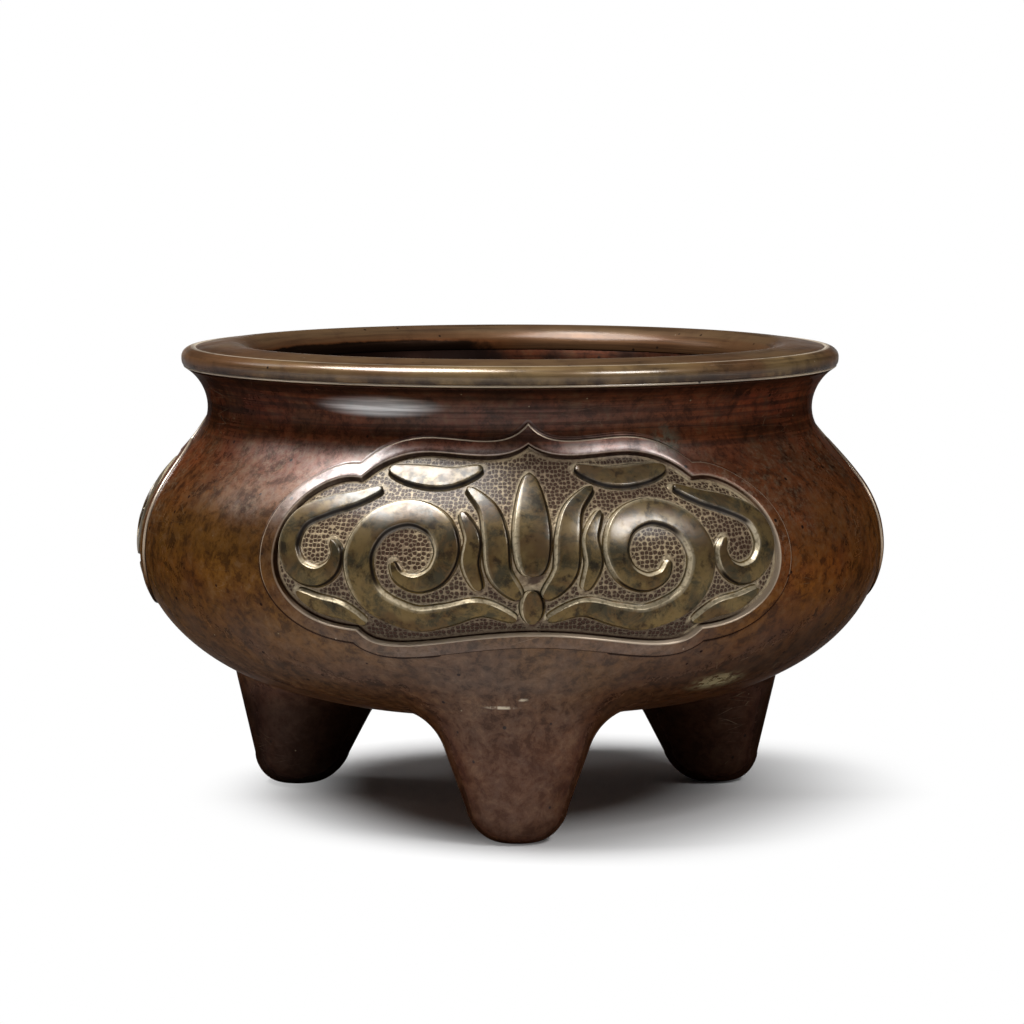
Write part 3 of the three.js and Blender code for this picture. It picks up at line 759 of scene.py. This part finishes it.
def makeBowl():
    # outside: radius and height along the profile, turned about the axis, and lowered along the
    # normal inside each cartouche; inside: the same profile moved in by the wall
    third = bowl["columns"] // 3
    lowRows, highRows, innerRows = bowl["rows"]
    fromCentre = (np.arange(third) + 0.5 - third / 2) * (2 * pi / 3 / third)
    s = np.concatenate([np.linspace(outsideArc[0], bowl["rowsChange"], lowRows)[:-1],
                        np.linspace(bowl["rowsChange"], outsideArc[-1], highRows)])
    u, up = np.meshgrid(fromCentre * bowl["bellyRadius"], s)
    sink = -recess(u, up)
    rings = np.concatenate([onBowl(u, up, sink, cartouche["turn"] + turn) for turn in sideTurns], axis=1)

    wall = bowl["wall"]
    innerWaist = offset(bowl["waist"], -bowl["neckWall"], 0)
    scale = (bowl["bellyRadius"] - wall) / bowl["bellyRadius"]
    innerBelly = offset(belly, -wall, 0)
    floor = offset(bowl["underside"], 0, wall)
    t = np.linspace(0, 1, innerRows)
    innerShoulder = bezier([innerWaist, offset(innerWaist, 0, -bowl["hollowDown"]),
                            offset(innerBelly, 0, bowl["fullnessUp"] * scale), innerBelly], t)
    innerBottom = bezier([innerBelly, offset(innerBelly, 0, -bowl["fullnessDown"] * scale),
                          offset(floor, bowl["undersideReach"] * scale, 0), floor], t)
    top = bowl["seat"][1]
    bevelIn, bevelDown = bowl["mouthBevel"]
    inner = np.concatenate([[(innerWaist[0] + bevelIn, top), (innerWaist[0], top - bevelDown)],
                            innerShoulder, innerBottom[1:], [(bowl["lastRing"], floor[1])]])
    angle = np.concatenate([fromCentre + cartouche["turn"] + turn for turn in sideTurns])
    # soot and painted shade inside, less of them at the top of its right half, which is painted as lit
    litRightTop = (1 - onLeft(angle)) * smooth(top - 24, top - 8, inner[:, 1:])
    sootAndShade = np.concatenate([np.zeros((len(rings), angle.size)), 1 - 0.5 * litRightTop])
    rings = np.concatenate([rings, turnedRings(inner, angle)])
    rows, columns = rings.shape[:2]
    points = np.concatenate([rings.reshape(-1, 3), [(0, 0, bowl["underside"][1]), (0, 0, floor[1])]])
    # painted shade just under the lip
    paintedShade = np.concatenate([0.75 * smooth(outsideArc[-1] - 5, outsideArc[-1] - 1, s), np.zeros(len(inner))])
    marks = {"sootAndShade": np.append(sootAndShade, [0, 1]), "paintedShade": np.append(np.repeat(paintedShade, columns), [0, 0])}
    addPiece("bowl_body", points, closedFaces(rows, columns), bodyPatina, "bowl", marks)


makeBowl()
print("bowl made")


# Lip
lip = {
    "overhang": 1.0,
    "height": 6.5,
    "beadHeight": 0.46,
    "beadRadius": 0.27,
    "bandHeight": 2.7,
    "arrisInset": 3.6,
    "arrisDrop": 1.1,
    "crestInset": 13.0,
    "throatHeight": 0.6,
    "sunk": 0.1,  # into the bowl's seat
    "columns": 420,
}


def makeLip():
    # a closed profile turned about the axis: bead, groove, rolled band, worn arris, crown, throat
    seatRadius, seatHeight = bowl["seat"]
    outer = seatRadius + lip["overhang"]
    top = seatHeight + lip["height"]
    mouth = bowl["waist"][0] - bowl["neckWall"]
    arris = (outer - lip["arrisInset"], top - lip["arrisDrop"])
    crest = (outer - lip["crestInset"], top)
    throat = (mouth, seatHeight + lip["throatHeight"])
    band = (outer, seatHeight + lip["bandHeight"])
    turn = np.radians(np.linspace(-100, 70, 9))
    bead = np.stack([seatRadius + 0.2 + lip["beadRadius"] * np.cos(turn),
                     seatHeight + lip["beadHeight"] + lip["beadRadius"] * np.sin(turn)], axis=-1)
    groove = (bead[-1, 0] + 0.10, bead[-1, 1] + 0.03)
    t = np.linspace(0, 1, 9)
    spans = [
        np.concatenate([[(seatRadius - 0.35, seatHeight - lip["sunk"])], bead]),
        bezier([groove, (groove[0] + 0.35, groove[1] + 0.1), (outer, groove[1] + 0.5), band], t),
        bezier([band, (outer, arris[1] - 0.9), (arris[0] + 1.9, arris[1] + 0.05),
                (arris[0] + 0.25, arris[1] + 0.03)], np.linspace(0, 1, 16)),
        bezier([(arris[0] + 0.25, arris[1] + 0.03), (arris[0] + 0.05, arris[1] + 0.03),
                (arris[0] - 0.1, arris[1] - 0.12), (arris[0] - 0.3, arris[1] - 0.1)], np.linspace(0, 1, 5)),
        bezier([(arris[0] - 0.3, arris[1] - 0.1), (arris[0] - 2.2, arris[1] + 0.45),
                (crest[0] + 2.0, top), crest], t),
        bezier([crest, ((crest[0] + throat[0]) / 2, top), (throat[0], (top + throat[1]) / 2), throat],
               np.linspace(0, 1, 18)),
    ]
    profile = np.concatenate([span[:-1] for span in spans] + [
        [throat, (mouth, seatHeight + lip["sunk"]), (mouth, seatHeight - lip["sunk"])]])
    # bead 0, groove 1, band 2, arris 3, crown 4, funnel 5 and seat 6
    part = np.concatenate([np.full(len(span) - 1, number) for number, span in enumerate(spans)]
                          + [[5, 6, 6]])
    # rubbed on the arris, on the top of the band and on the bead
    wearAndHighlight = np.where(part == 3, 0.9, 0.0)
    wearAndHighlight[(part == 2).nonzero()[0][-2:]] = 0.5
    wearAndHighlight[(part == 0).nonzero()[0][3:9]] = 0.45
    # painted shade in the lower half of the band; soot and painted shade from the crown down to the throat,
    # more deeper down and on the left half
    paintedShade = np.where((part == 1) | (part == 2),
                     0.95 * smooth(band[1] + 1.0, groove[1] + 0.4, profile[:, 1]), 0.0)
    angle = np.arange(lip["columns"]) * (2 * pi / lip["columns"])
    lowSootAndShade = 0.03 + 0.62 * onLeft(angle)
    height = profile[:, 1:]
    sootAndShade = np.where(part == 4, 0.12, 0.0)[:, None] + (part >= 5)[:, None] * (
        0.15 + 0.22 * smooth(top - 0.8, top - 2.5, height) + lowSootAndShade * smooth(top - 3.0, top - 4.8, height))
    rings = turnedRings(profile, angle)
    rows, columns = rings.shape[:2]
    marks = {"wearAndHighlight": np.repeat(wearAndHighlight, columns), "paintedShade": np.repeat(paintedShade, columns),
             "sootAndShade": sootAndShade.ravel()}
    addPiece("rolled_lip", rings.reshape(-1, 3), [ringFaces(rows, columns, True)], lipPatina,
             "lip", marks)


makeLip()
print("lip made")


# Feet
foot = {
    "standRadius": 67.0,
    "lean": 0.17,
    "flatRadius": 4.0,
    "roundHeight": 8.4,
    "roundRadius": 13.1,
    "roundness": 1.5,
    "taper": 0.37,
    "filletDrop": 10.0,
    "filletReach": (11.0, 17.0),  # under the bowl, and up its outside
    "filletPull": 0.64,  # of its handles, as a share of its reach
    "topHeight": 32.0,  # where its middle is, inside the bowl's wall
    "overlap": 2.0,  # into the wall
    "footShade": (0.0, 0.7, 0.95),  # painted shade on each foot, 0 to 1
    "footShadeHeights": (34.0, 22.0),  # none at the first, all at the second
    "rows": (16, 8, 30),  # in the round end, from there to the fillet, and in the fillet
    "coneRows": (10.5, 13.0),  # heights of two more above the round end
    "columns": 144,
}


def undersideOver(x, y):
    return np.interp(np.hypot(x, y), bottomLine[:, 0], bottomLine[:, 1])


def footSide(angle, z):
    # a leaning cone over a round end: radius = round radius + taper (z - round height)
    z = np.asarray(z, float)
    low = np.clip(1 - z / foot["roundHeight"], 0, 1)
    rounded = foot["flatRadius"] + (foot["roundRadius"] - foot["flatRadius"]) * np.sqrt(
        1 - low ** foot["roundness"])
    radius = np.where(z < foot["roundHeight"], rounded,
                      foot["roundRadius"] + foot["taper"] * (z - foot["roundHeight"]))
    middle = foot["standRadius"] - foot["lean"] * z
    return np.stack([radius * np.sin(angle), -middle - radius * np.cos(angle), z], axis=-1)


def lastWithin(high, within):
    # the greatest value from 0 to high for which within still holds, by halving the span
    low = np.zeros(high.size)
    for _ in range(40):
        middle = (low + high) / 2
        held = within(middle)
        low = np.where(held, middle, low)
        high = np.where(held, high, middle)
    return low


def footRings():
    # the cone, then in each direction round the foot a curve that leaves the cone along its side and
    # lands along the bowl's underside, then a way back to the middle inside the bowl's wall
    angle = np.arange(foot["columns"]) * (2 * pi / foot["columns"])
    outwards = np.stack([np.sin(angle), -np.cos(angle)], axis=-1)
    roundRows, coneRows, filletRows = foot["rows"]
    inner, outer = foot["filletReach"]
    reach = inner + (outer - inner) * smooth(-0.3, 1.0, np.cos(angle))

    def underBowl(height):
        point = footSide(angle, height)
        return undersideOver(point[:, 0], point[:, 1]) > height

    height = lastWithin(np.full(angle.size, bowl["bellyHeight"]), underBowl)
    meeting = footSide(angle, height)

    def across(distance):
        place = meeting[:, :2] + distance[:, None] * outwards
        return np.column_stack([place, undersideOver(*place.T)])

    def inReach(distance):
        return np.linalg.norm(across(distance) - meeting, axis=1) < reach

    far = lastWithin(reach, inReach)
    end = across(far)
    landing = unit(across(far + 0.05) - across(far - 0.05))
    start = footSide(angle, height - foot["filletDrop"])
    pull = foot["filletPull"]
    fillet = bezier([start, start + (meeting - start) * pull, end - landing * (reach * pull)[:, None], end],
                    np.linspace(0, 1, filletRows)[:, None])
    heights = np.concatenate([foot["roundHeight"] * (1 - np.cos(np.linspace(0.0, pi / 2, roundRows))),
                              foot["coneRows"]])
    side = footSide(angle[None], np.broadcast_to(heights[:, None], (heights.size, angle.size)))
    between = np.linspace(0, 1, coneRows)[1:-1, None, None] * (start - side[-1]) + side[-1]
    centre = np.array([0, -foot["standRadius"], 0])
    flat = centre + (side[:1] - centre) * 0.5
    shrink = np.array([1.0, 0.75, 0.5, 0.25])[:, None, None]
    middle = np.array([0, -foot["standRadius"] + foot["lean"] * foot["topHeight"], 0])
    back = middle + (end - middle) * shrink
    back[..., 2] = undersideOver(back[..., 0], back[..., 1]) + foot["overlap"]
    ring = np.concatenate([flat, side, between, fillet, back])
    # where it runs up inside the cartouche it sinks with the bowl, behind the punched ground
    s = np.interp(ring[..., 2], bottomLine[:, 1], outsideArc[:spanSteps.size])
    u = (np.arctan2(ring[..., 0], -ring[..., 1]) - cartouche["turn"]) * bowl["bellyRadius"]
    radius = np.hypot(ring[..., 0], ring[..., 1])
    ring[..., :2] *= (1 - recess(u, s) / radius)[..., None]
    return ring, middle


def makeFeet():
    ring, middle = footRings()
    rows, columns = ring.shape[:2]
    top = np.array([middle[0], middle[1], undersideOver(middle[0], middle[1]) + foot["overlap"]])
    points = np.concatenate([ring.reshape(-1, 3), [(0, -foot["standRadius"], 0), top]])
    faces = closedFaces(rows, columns)
    for name, turn, footShade in zip(sideNames, sideTurns, foot["footShade"]):
        turned = points @ np.array([[cos(turn), sin(turn), 0], [-sin(turn), cos(turn), 0], [0, 0, 1]])
        # painted shade on the lower part of the rear feet
        paintedShade = footShade * smooth(*foot["footShadeHeights"], points[:, 2])
        addPiece(f"{name}_foot_cast", turned, faces, bodyPatina, f"{name}_foot", {"paintedShade": paintedShade})


makeFeet()
print("feet made")


# Cartouche frames
def makeFrames():
    # a band between two insets of the outline, with rounded edges and a slight crown
    width = cartouche["frameWidth"]
    proud = cartouche["frameProud"]
    # inset, lift, and its edge: 1 outer step, 2 outer line, 3 inner line, 4 inner wall, 5 its foot
    section = [
        (-1.15, -1.6, 0), (-1.13, -0.02, 0), (-0.98, 0.03, 0), (-0.74, 0.03, 1), (-0.03, 0.03, 1),
        (0.0, 0.10, 1), (0.05, 0.34, 2), (0.14, 0.56, 2), (0.32, 0.68, 2), (0.52, 0.71, 0), (1.4, 0.72, 0),
        (2.2, 0.73, 0), (3.0, 0.72, 0), (3.90, 0.69, 0), (4.08, 0.62, 3), (4.20, 0.46, 3), (4.30, 0.15, 4),
        (4.38, -0.30, 4), (4.46, -0.60, 5), (4.66, -0.95, 5), (4.68, -1.9, 5),
    ]
    edge = np.array([mark for _, _, mark in section])[:, None]
    lines = [outlineLine(inset * width / cartouche["drawnWidth"])[::-1] for inset, _, _ in section]
    crown = lines[len(lines) // 2]
    along = unit(np.roll(crown, -1, axis=0) - np.roll(crown, 1, axis=0))
    inwards = np.stack([-along[:, 1], along[:, 0]], axis=-1)
    lit = inwards @ lightSide
    above = inwards @ np.array([0.0, -1.0])
    fromRight = smooth(0.2, 0.8, inwards @ np.array([-1.0, 0.0]))
    # painted highlight on the edges that face up or up and to the left, and on the inner wall's foot on the
    # right, with some wear all along the inner line; painted shade on the outer step, most where it faces
    # down, and on the edges that face away
    wearAndHighlight = np.select([edge == 2, edge == 3, edge == 4, edge == 5],
                     [smooth(-0.7, 0.0, above), 0.3 + 0.7 * smooth(-0.2, 0.5, lit), smooth(-0.1, 0.6, lit),
                      fromRight], 0.0)
    paintedShade = np.select([edge == 1, edge == 2, edge == 4, edge == 5],
                      [0.3 + 0.7 * smooth(0.2, -0.6, above), smooth(-0.4, -0.9, above),
                       smooth(0.3, -0.4, lit), 1 - fromRight], 0.0)
    lifts = [lift * proud / cartouche["drawnProud"] if lift > 0 else lift for _, lift, _ in section]
    marks = {"paintedShade": paintedShade.ravel(), "wearAndHighlight": wearAndHighlight.ravel()}
    for name, turn in zip(sideNames, sideTurns):
        rings = np.stack([onBowl(line[:, 0], line[:, 1], lift, cartouche["turn"] + turn)
                          for line, lift in zip(lines, lifts)])
        rows, columns = rings.shape[:2]
        addPiece(f"{name}_frame_band", rings.reshape(-1, 3), [ringFaces(rows, columns, True)],
                 framePatina, f"{name}_cartouche_frame", marks)


makeFrames()
print("frames made")


# Relief strokes: path in u and s, greatest width, where it lies along the path, and the twin
def spiral(eye, start, end, radius, lastRadius):
    # radius shrinks evenly with the angle
    steps = int(np.ceil(abs(end - start) / 45))
    angle = np.radians(np.linspace(start, end, steps + 1))
    reach = np.linspace(radius, lastRadius, steps + 1)
    return [tuple(point) for point in np.stack([eye[0] + reach * np.cos(angle),
                                                eye[1] + reach * np.sin(angle)], axis=-1)]


strokes = {
    "bud": ([(0, 1), (0, 15.5), (0, 30)], 9, 0.38, False),
    "drop": ([(0, -11.5), (0, -7), (0, -2.5)], 5.2, 0.5, False),
    "petal": ([(3, -4.5), (8.2, 2), (9.3, 11), (11.5, 19), (17.5, 25.5)], 5.8, 0.42, True),
    "inner_leaf": ([(13.2, -2.5), (15.6, 4), (15.2, 11), (18.5, 18)], 3.8, 0.45, True),
    "top_leaf": ([(13.5, 31.6), (23, 28.6), (33, 29.2), (42, 31)], 6.2, 0.5, True),
    "low_leaf": ([(43.8, -12.4), (50, -9.2), (57, -7.6), (63, -4.6)], 4.4, 0.5, True),
    "scroll": ([(4, -10.5), (13, -7.2), (22.5, -9.6), *spiral((31, 6), -90, 340, 16.5, 5)], 7, 0.42, True),
    "end_scroll": ([(42, 24.8), (49, 21.4), *spiral((56.3, 7), 90, -215, 12, 3.9)], 5.4, 0.4, True),
}
relief = {
    "proud": 0.4,
    "crown": 0.05,
    "crownRows": (0.72, 0.38, 0.0),  # shares of the top's half width
    "edgeRound": 0.30,
    "edgeRows": (20, 45, 68, 90),  # degrees round the edge
    "wallOut": (0.95, 0.90, 0.58, 0.36, 0.14),  # out from the edge, and up from the bowl
    "wallLift": (-1.7, -0.93, -0.84, -0.55, -0.10),
    "tipWidth": 0.5,
    "tipDrop": 0.25,
    "tipFrom": (1.2, 0.3),  # half widths between which the top drops
    "fullness": 0.7,
    "stepLength": 0.75,
}


def splineLine(points, steps):
    # uniform Catmull-Rom: b + (c-a)/2 t + (a - 5b/2 + 2c - d/2) t^2 + (3b/2 - 3c/2 + d/2 - a/2) t^3
    points = np.asarray(points, float)
    place = np.linspace(0, len(points) - 1, steps + 1)
    span = np.minimum(place.astype(int), len(points) - 2)
    t = (place - span)[:, None]
    a, b = points[np.maximum(span - 1, 0)], points[span]
    c, d = points[span + 1], points[np.minimum(span + 2, len(points) - 1)]
    a = np.where((span == 0)[:, None], b, a)
    d = np.where((span == len(points) - 2)[:, None], c, d)
    return (b + (c - a) / 2 * t + (a - 2.5 * b + 2 * c - d / 2) * t ** 2
            + (1.5 * b - 1.5 * c + (d - a) / 2) * t ** 3)


def strokeLine(path, width, widest):
    # centre line, unit tangents and half widths: tip + belly sin(pi share^swell)^fullness
    rough = splineLine(path, 200)
    length = np.linalg.norm(np.diff(rough, axis=0), axis=1).sum()
    steps = max(24, int(length / relief["stepLength"]))
    middle = splineLine(path, steps)
    along = unit(np.gradient(middle, axis=0))
    share = np.linspace(0, 1, steps + 1)
    swell = np.log(0.5) / np.log(widest)
    tip = relief["tipWidth"] / 2
    half = tip + (width / 2 - tip) * np.maximum(np.sin(pi * share ** swell), 0) ** relief["fullness"]
    return middle, along, half


def makeStroke(name, path, width, widest, turn, mirror, node):
    # a section of walls, rounded edges and a crowned top, carried along the path
    middle, along, half = strokeLine(path, width, widest)
    middle = middle * (mirror, 1)
    along = along * (mirror, 1)
    half = half[:, None]
    across = np.stack([along[:, 1], -along[:, 0]], axis=-1)
    edge = np.minimum(relief["edgeRound"], half * 0.75)
    top = relief["proud"] - relief["tipDrop"] * smooth(*relief["tipFrom"], half)
    bend = np.radians(relief["edgeRows"])
    crownRows = np.array(relief["crownRows"])
    wallLift = np.broadcast_to(relief["wallLift"], (len(half), len(relief["wallLift"])))
    crownLift = top + relief["crown"] * (1 - crownRows ** 2) * np.minimum(half / 2.5, 1)
    rightReach = np.concatenate([half + relief["wallOut"], half - edge * (1 - np.cos(bend)),
                                 (half - edge) * crownRows], axis=1)
    rightLift = np.concatenate([wallLift, top - edge * (1 - np.sin(bend)), crownLift], axis=1)
    reach = np.concatenate([rightReach, -rightReach[:, -2::-1]], axis=1)
    lift = np.concatenate([rightLift, rightLift[:, -2::-1]], axis=1)
    place = middle[:, None] + reach[..., None] * across[:, None]
    rings = onBowl(place[..., 0], place[..., 1], lift, turn)
    if mirror < 0:
        rings, reach, lift = rings[:, ::-1], reach[:, ::-1], lift[:, ::-1]
    points = np.concatenate([rings.reshape(-1, 3), rings[[0, -1]].mean(axis=1)])
    # painted highlight on the rim of the side that looks up or to the left, and painted shade at the foot of
    # the wall on the other side
    inside = np.abs(reach) / half
    facing = np.sign(reach) * (across @ lightSide)[:, None]
    wall = smooth(0.97, 1.02, inside)
    rim = np.maximum(smooth(0.86, 0.97, inside) * smooth(-0.1, 0.15, lift),
                     wall * smooth(-0.88, -0.5, lift))
    wearAndHighlight = rim * smooth(-0.3, 0.5, facing)
    paintedShade = wall * smooth(-0.92, -0.7, lift) * smooth(0.2, -0.3, facing)
    marks = {"wearAndHighlight": np.append(wearAndHighlight, [0.5, 0.5]), "paintedShade": np.append(paintedShade, [0.5, 0.5])}
    addPiece(name, points, closedFaces(*rings.shape[:2]), reliefPatina, node, marks)


def makeRelief():
    for side, turn in zip(sideNames, sideTurns):
        for stroke, (path, width, widest, paired) in strokes.items():
            twins = (("_right", 1), ("_left", -1)) if paired else (("", 1),)
            for ending, mirror in twins:
                node = f"{side}_{stroke}{ending}"
                makeStroke(f"{node}_relief", path, width, widest, cartouche["turn"] + turn, mirror, node)


makeRelief()
print("relief made")


# Punched grounds
ground = {
    "inset": 3.2,  # from the cartouche's outline to its edge
    "rise": 0.35,  # over its solid
    "underside": -2.4,
    "columns": 260,
    "rows": 110,
    "margin": (0.8, 1.5),  # from the frame and the strokes to the first punches
}


def reliefGap(u, s):
    # distance to the side of the nearest stroke, and how far that side looks up and to the left
    best = np.full(u.shape, np.inf)
    lit = np.zeros(u.shape)
    for path, width, widest, paired in strokes.values():
        middle, _, half = strokeLine(path, width, widest)
        for mirror in ((1, -1) if paired else (1,)):
            for (x, y), reach in zip(middle[::2] * (mirror, 1), half[::2]):
                length = np.hypot(u - x, s - y)
                nearer = length - reach < best
                best = np.where(nearer, length - reach, best)
                facing = (lightSide[1] * (s - y) + lightSide[0] * (u - x)) / np.maximum(length, 0.1)
                lit = np.where(nearer, facing, lit)
    return best, lit


def makeGrounds():
    # columns from the lower edge to the upper one and rows between them; the material cuts the punches
    half = ground["columns"] // 2
    line = outlineLine(ground["inset"])
    right = line[:sum(cartouche["steps"]) + 1]
    tip = right[:, 0].argmax()
    across = right[tip, 0] * np.sin(np.linspace(0, pi / 2, half + 1))
    upper = np.interp(across, right[:tip + 1, 0], right[:tip + 1, 1])
    lower = np.interp(across, right[tip:, 0][::-1], right[tip:, 1][::-1])
    u = np.concatenate([-across[::-1], across[1:]])
    upper = np.concatenate([upper[::-1], upper[1:]])
    lower = np.concatenate([lower[::-1], lower[1:]])
    share = np.linspace(0, 1, ground["rows"] + 1)[:, None]
    s = lower + share * (upper - lower)
    u = np.broadcast_to(u, s.shape)
    inner = outlineLine(cartouche["frameWidth"])[::3]
    step = 0.1
    inset, besideIt = (insetOf(u + x, s, inner) for x in (0, step))
    gap, lit = reliefGap(u, s)
    fromRight = (inset - besideIt) / step
    edge = np.minimum(gap, inset)
    punched = smooth(*ground["margin"], edge)
    # painted highlight, a pale margin, on the lit side of each raised edge, and painted shade on the other
    # side
    byStroke = gap < inset
    pale = np.where(byStroke, smooth(-0.1, 0.6, lit), smooth(0.2, 0.8, fromRight)) * smooth(1.7, 0.9, edge)
    edgeShade = np.where(byStroke, smooth(0.0, -0.7, lit), smooth(0.3, -0.3, fromRight)) * smooth(0.9, 0.3, edge)
    rows, columns = u.shape
    number = np.arange(rows * columns).reshape(rows, columns)
    corners = [number[:-1, :-1], number[:-1, 1:], number[1:, 1:], number[1:, :-1]]
    quads = np.stack(corners, axis=-1).reshape(-1, 4)
    # anticlockwise from the lower left corner; a skirt goes down from it to long strips behind the ground
    edgeRing = np.concatenate([number[0], number[1:, -1], number[-1, -2::-1], number[-2:0:-1, 0]])
    base = rows * columns + np.arange(edgeRing.size)
    skirt = np.stack([edgeRing, base, np.roll(base, -1), np.roll(edgeRing, -1)], axis=-1)
    upperRight = rows + columns - 2
    upperBase = base[upperRight:upperRight + columns][::-1]
    lowerBase = base[:columns]
    under = np.stack([lowerBase[:-1], upperBase[:-1], upperBase[1:], lowerBase[1:]], axis=-1)
    edgeU, edgeS = u.ravel()[edgeRing], s.ravel()[edgeRing]
    none = np.zeros(edgeRing.size)
    flatU, flatS = np.append(u, edgeU), np.append(s, edgeS)
    marks = {"panel": np.stack([flatU, flatS, np.zeros(flatU.size)], axis=-1) * mm,
             "punched": np.append(punched, none), "edgeLightAndShade": np.append(pale - edgeShade, none)}
    for name, turn in zip(sideNames, sideTurns):
        around = cartouche["turn"] + turn
        top = onBowl(u, s, -cartouche["groundDepth"] + ground["rise"], around).reshape(-1, 3)
        bottom = onBowl(edgeU, edgeS, ground["underside"], around)
        addPiece(f"{name}_punched_ground", np.concatenate([top, bottom]), [quads, skirt, under],
                 groundPatina, f"{name}_cartouche_ground", marks)


makeGrounds()
print("grounds made")


# Floor and light
stage = {
    "floorRadius": 3.2,
    "floorRings": (0.4, 1.2),
    "curve": 0.3,  # from the floor up to its wall
    "wallHeight": 0.45,
    "columns": 96,
    "floorColor": (0.88, 0.88, 0.88),
    "shadowCentre": (0.006, 0.015),
    "shadowReach": (0.095, 0.109, 0.145, 0.155),  # to the left, to the right, to the back and to the front
    "shadowPower": (1.4, 3.0),  # roundness of its outline in front and behind
    "shadowTurn": (-0.01, 0.05),  # where the one passes into the other
    "shadowEdge": (0.45, 1.05),
    "whiteTo": (0.42, 0.72),
    "whiteWidening": 0.12,  # for each metre behind the object
    "farColor": (0.80, 0.80, 0.80),
    "world": 0.04,
}
lamps = {
    "overhead": {"at": (-0.50, -0.10, 1.40), "aim": (0, 0, 0.05), "size": (0.92, 0.78), "radiance": 15.0},
    "right": {"at": (0.95, -0.95, 1.30), "aim": (0, 0, 0.07), "size": (0.52, 0.52), "radiance": 14.0},
    "leftBack": {"at": (-1.07, 0.50, 0.98), "aim": (0, 0, 0.07), "size": (0.5, 0.4), "radiance": 2.0},
}


def floorMaterial():
    # plain paint under the object, and white light all round it and behind it where it is seen
    nodes = Nodes("white_floor")
    paths = nodes.add("ShaderNodeLightPath").outputs
    seen = nodes.math("MAXIMUM", paths["Is Camera Ray"],
                      nodes.math("MAXIMUM", paths["Is Glossy Ray"], paths["Is Transmission Ray"]))
    place = nodes.axes()
    left, right, back, front = stage["shadowReach"]
    power = nodes.ramp(place["Y"], *stage["shadowTurn"], *stage["shadowPower"])
    shares = []
    for axis, middle, low, high in (("X", stage["shadowCentre"][0], left, right),
                                    ("Y", stage["shadowCentre"][1], front, back)):
        reach = nodes.math("SUBTRACT", place[axis], middle)
        above = nodes.math("DIVIDE", nodes.math("MAXIMUM", reach, 0.0), high)
        below = nodes.math("DIVIDE", nodes.math("MAXIMUM", nodes.times(reach, -1.0), 0.0), low)
        shares.append(nodes.math("POWER", nodes.math("ADD", above, below), power))
    # (|x|^n + |y|^n)^(1/n), a rounded lozenge in front and a rounded square behind
    outwards = nodes.math("POWER", nodes.math("ADD", *shares), nodes.math("DIVIDE", 1.0, power))
    # the white field widens backwards and ends in an arc in front
    before = nodes.math("MINIMUM", place["Y"], 0.0)
    widening = nodes.times(nodes.math("MAXIMUM", place["Y"], 0.0), stage["whiteWidening"])
    beside = nodes.math("SUBTRACT", nodes.math("ABSOLUTE", place["X"]), widening)
    away = nodes.math("SQRT", nodes.math("ADD", nodes.times(beside, beside), nodes.times(before, before)))
    away = nodes.times(away, nodes.math("GREATER_THAN", beside, 0.0))
    near = nodes.ramp(away, *stage["whiteTo"], 1.0, 0.0)
    white = nodes.times(nodes.ramp(outwards, *stage["shadowEdge"]), near)
    diffuse = nodes.add("ShaderNodeBsdfDiffuse")
    nodes.feed(diffuse.inputs["Color"], nodes.mix(near, stage["farColor"], stage["floorColor"]))
    glow = nodes.add("ShaderNodeEmission")
    nodes.feed(glow.inputs["Color"], (1, 1, 1))
    glow.inputs["Strength"].default_value = 1.0
    blend = nodes.add("ShaderNodeMixShader")
    nodes.feed(blend.inputs[0], nodes.times(white, seen))
    nodes.feed(blend.inputs[1], diffuse.outputs[0])
    nodes.feed(blend.inputs[2], glow.outputs[0])
    output = nodes.add("ShaderNodeOutputMaterial")
    nodes.feed(output.inputs["Surface"], blend.outputs[0])
    return nodes.material


def makeFloor():
    # a flat disc that sweeps up into a low wall all round
    bend = np.linspace(0, pi / 2, 10)
    radius, curve = stage["floorRadius"], stage["curve"]
    sweep = np.stack([radius - curve + curve * np.sin(bend), curve * (1 - np.cos(bend))], axis=-1)
    profile = np.concatenate([[(ring, 0) for ring in stage["floorRings"]], sweep,
                              [(radius, stage["wallHeight"])]])
    rows, columns = len(profile), stage["columns"]
    rings = turnedRings(profile, np.arange(columns) * (2 * pi / columns))
    points = np.concatenate([rings.reshape(-1, 3), [(0, 0, 0)]])
    faces = [ringFaces(rows, columns)[:, ::-1], fanFaces(rows * columns, np.arange(columns))]
    placed("floor", meshOf("floor", points, faces, floorMaterial()))


def makeLamps():
    # energy is radiance times pi times area, so that a resized lamp shines as brightly
    for name, lamp in lamps.items():
        data = bpy.data.lights.new(name, "AREA")
        data.shape = "RECTANGLE"
        data.size, data.size_y = lamp["size"]
        data.energy = lamp["radiance"] * pi * data.size * data.size_y
        item = placed(name, data)
        item.location = lamp["at"]
        way = Vector(lamp["aim"]) - Vector(lamp["at"])
        item.rotation_euler = way.to_track_quat("-Z", "Y").to_euler()
    world = bpy.data.worlds.new("studio")
    world.use_nodes = True
    background = world.node_tree.nodes["Background"].inputs
    background["Color"].default_value = (1, 1, 1, 1)
    background["Strength"].default_value = stage["world"]
    bpy.context.scene.world = world


makeFloor()
makeLamps()
bpy.context.scene.view_settings.view_transform = "Standard"
print("floor and lamps placed")
